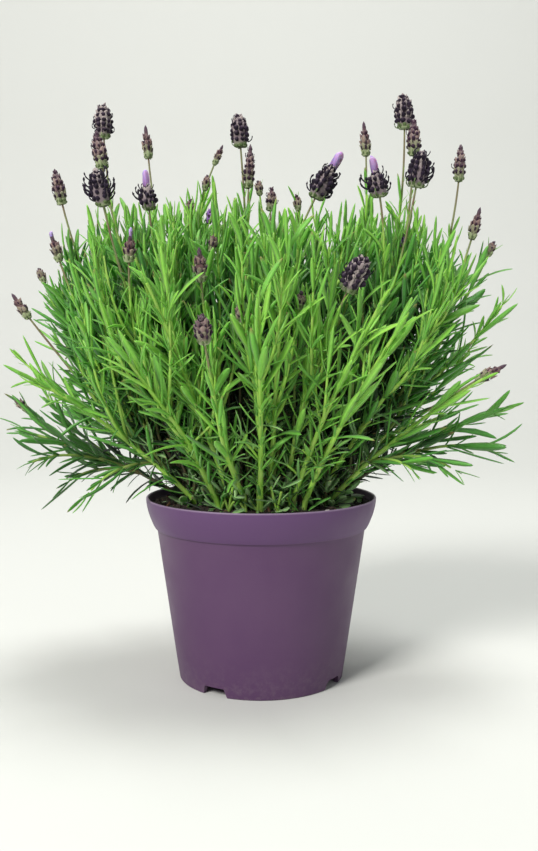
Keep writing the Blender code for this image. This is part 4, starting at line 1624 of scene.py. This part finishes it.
def grow_shoot(stem, number, random):
    lines = all_lines(stem, random)
    kind = dict(KIND_OF.get(stem.name.rsplit("_")[-1], YOUNG))
    bloom = kind.pop("bloom")
    width = stem.head_width if stem.head_length else BUD_WIDTH
    calyx_length = 0.0021 + width * 0.13
    if stem.head_length:
        base = stem.at(1 - stem.head_length / stem.length)
        overhang = calyx_length * 0.9 * (kind["Finger"] < 0.1)
        head_line(lines, base, (stem.tip - base).normalized(), stem.head_length - overhang, bloom)
    whorled = (stem.head_length or BUD_LENGTH) * (1 - kind["Finger"])
    made = lines.make(stem.name.replace("shoot", "stem"))
    grow(
        made, shoot_tree, Spacing=JOINT_SPACING, Leaf_Length=LEAF_LENGTH,
        Tiers=max(4, round(whorled / TIER_HEIGHT)), Around=8 if width > FINE_HEAD else 6,
        Head_Width=width, Calyx_Length=calyx_length, Seed=number * 11 + 3, **kind, **shapes,
    )
    stand_for(made, stem.name)
    return len(made.data.polygons)


random = Random(SEED + 7)
buds = share_out(BUDS, stems, 0.6)
sprays = share_out(SPRAYS, stems, 0.8)
faces = sum(grow_shoot(stem, number, random) for number, stem in enumerate(stems))
print(len(stems), "shoots with", faces, "faces")

# %% [markdown]
# ## The violet bracts
# Five heads still carry the tuft of violet bracts that attracts the bees. The same whorls
# group makes them, with petals for pieces: two rings of two, nearly upright.

# %% Bracts
TUFT_OVERLAP = 0.0025
TUFT_WIDTH = 0.0028
FULL_TUFT_HEAD = 0.0095


def make_bract_tree():
    tree = Growth(
        "grow bracts", Geometry="Geometry", Petals="Collection", Petal_Length=0.007, Width=0.006,
        Seed=1, Finish="Material",
    )
    given = tree.given
    tuft = tree.use(
        whorls, Curve=tree.add("GeometryNodeMeshToCurve", given["Geometry"]), Pieces=given["Petals"],
        Tiers=2, Around=2, Width=given["Width"], Length=given["Petal Length"], Low_Opening=0.14,
        High_Opening=0.05, Seed=given["Seed"], Finish=given["Finish"],
    )
    return tree.done(tree.add("GeometryNodeSetShadeSmooth", tuft))


bract_tree = make_bract_tree()
crowned = [stem for stem in stems if stem.bracts]
for number, stem in enumerate(crowned):
    lift = stem.heading(1)
    base = stem.tip - lift * TUFT_OVERLAP
    petal_length = (BRACT_LENGTH + TUFT_OVERLAP) * min(stem.head_width / FULL_TUFT_HEAD, 1) ** 2
    lines = Lines()
    lines.chain([base, base + lift * 0.001])
    node = stem.name.replace("flowering_shoot", "bracts")
    tuft = lines.make(node.replace("bracts", "violet_tuft"))
    grow(
        tuft, bract_tree, Petals=petal_shapes, Petal_Length=petal_length, Width=TUFT_WIDTH,
        Seed=number, Finish=violet_finish,
    )
    stand_for(tuft, node)
print(len(crowned), "tufts of bracts")
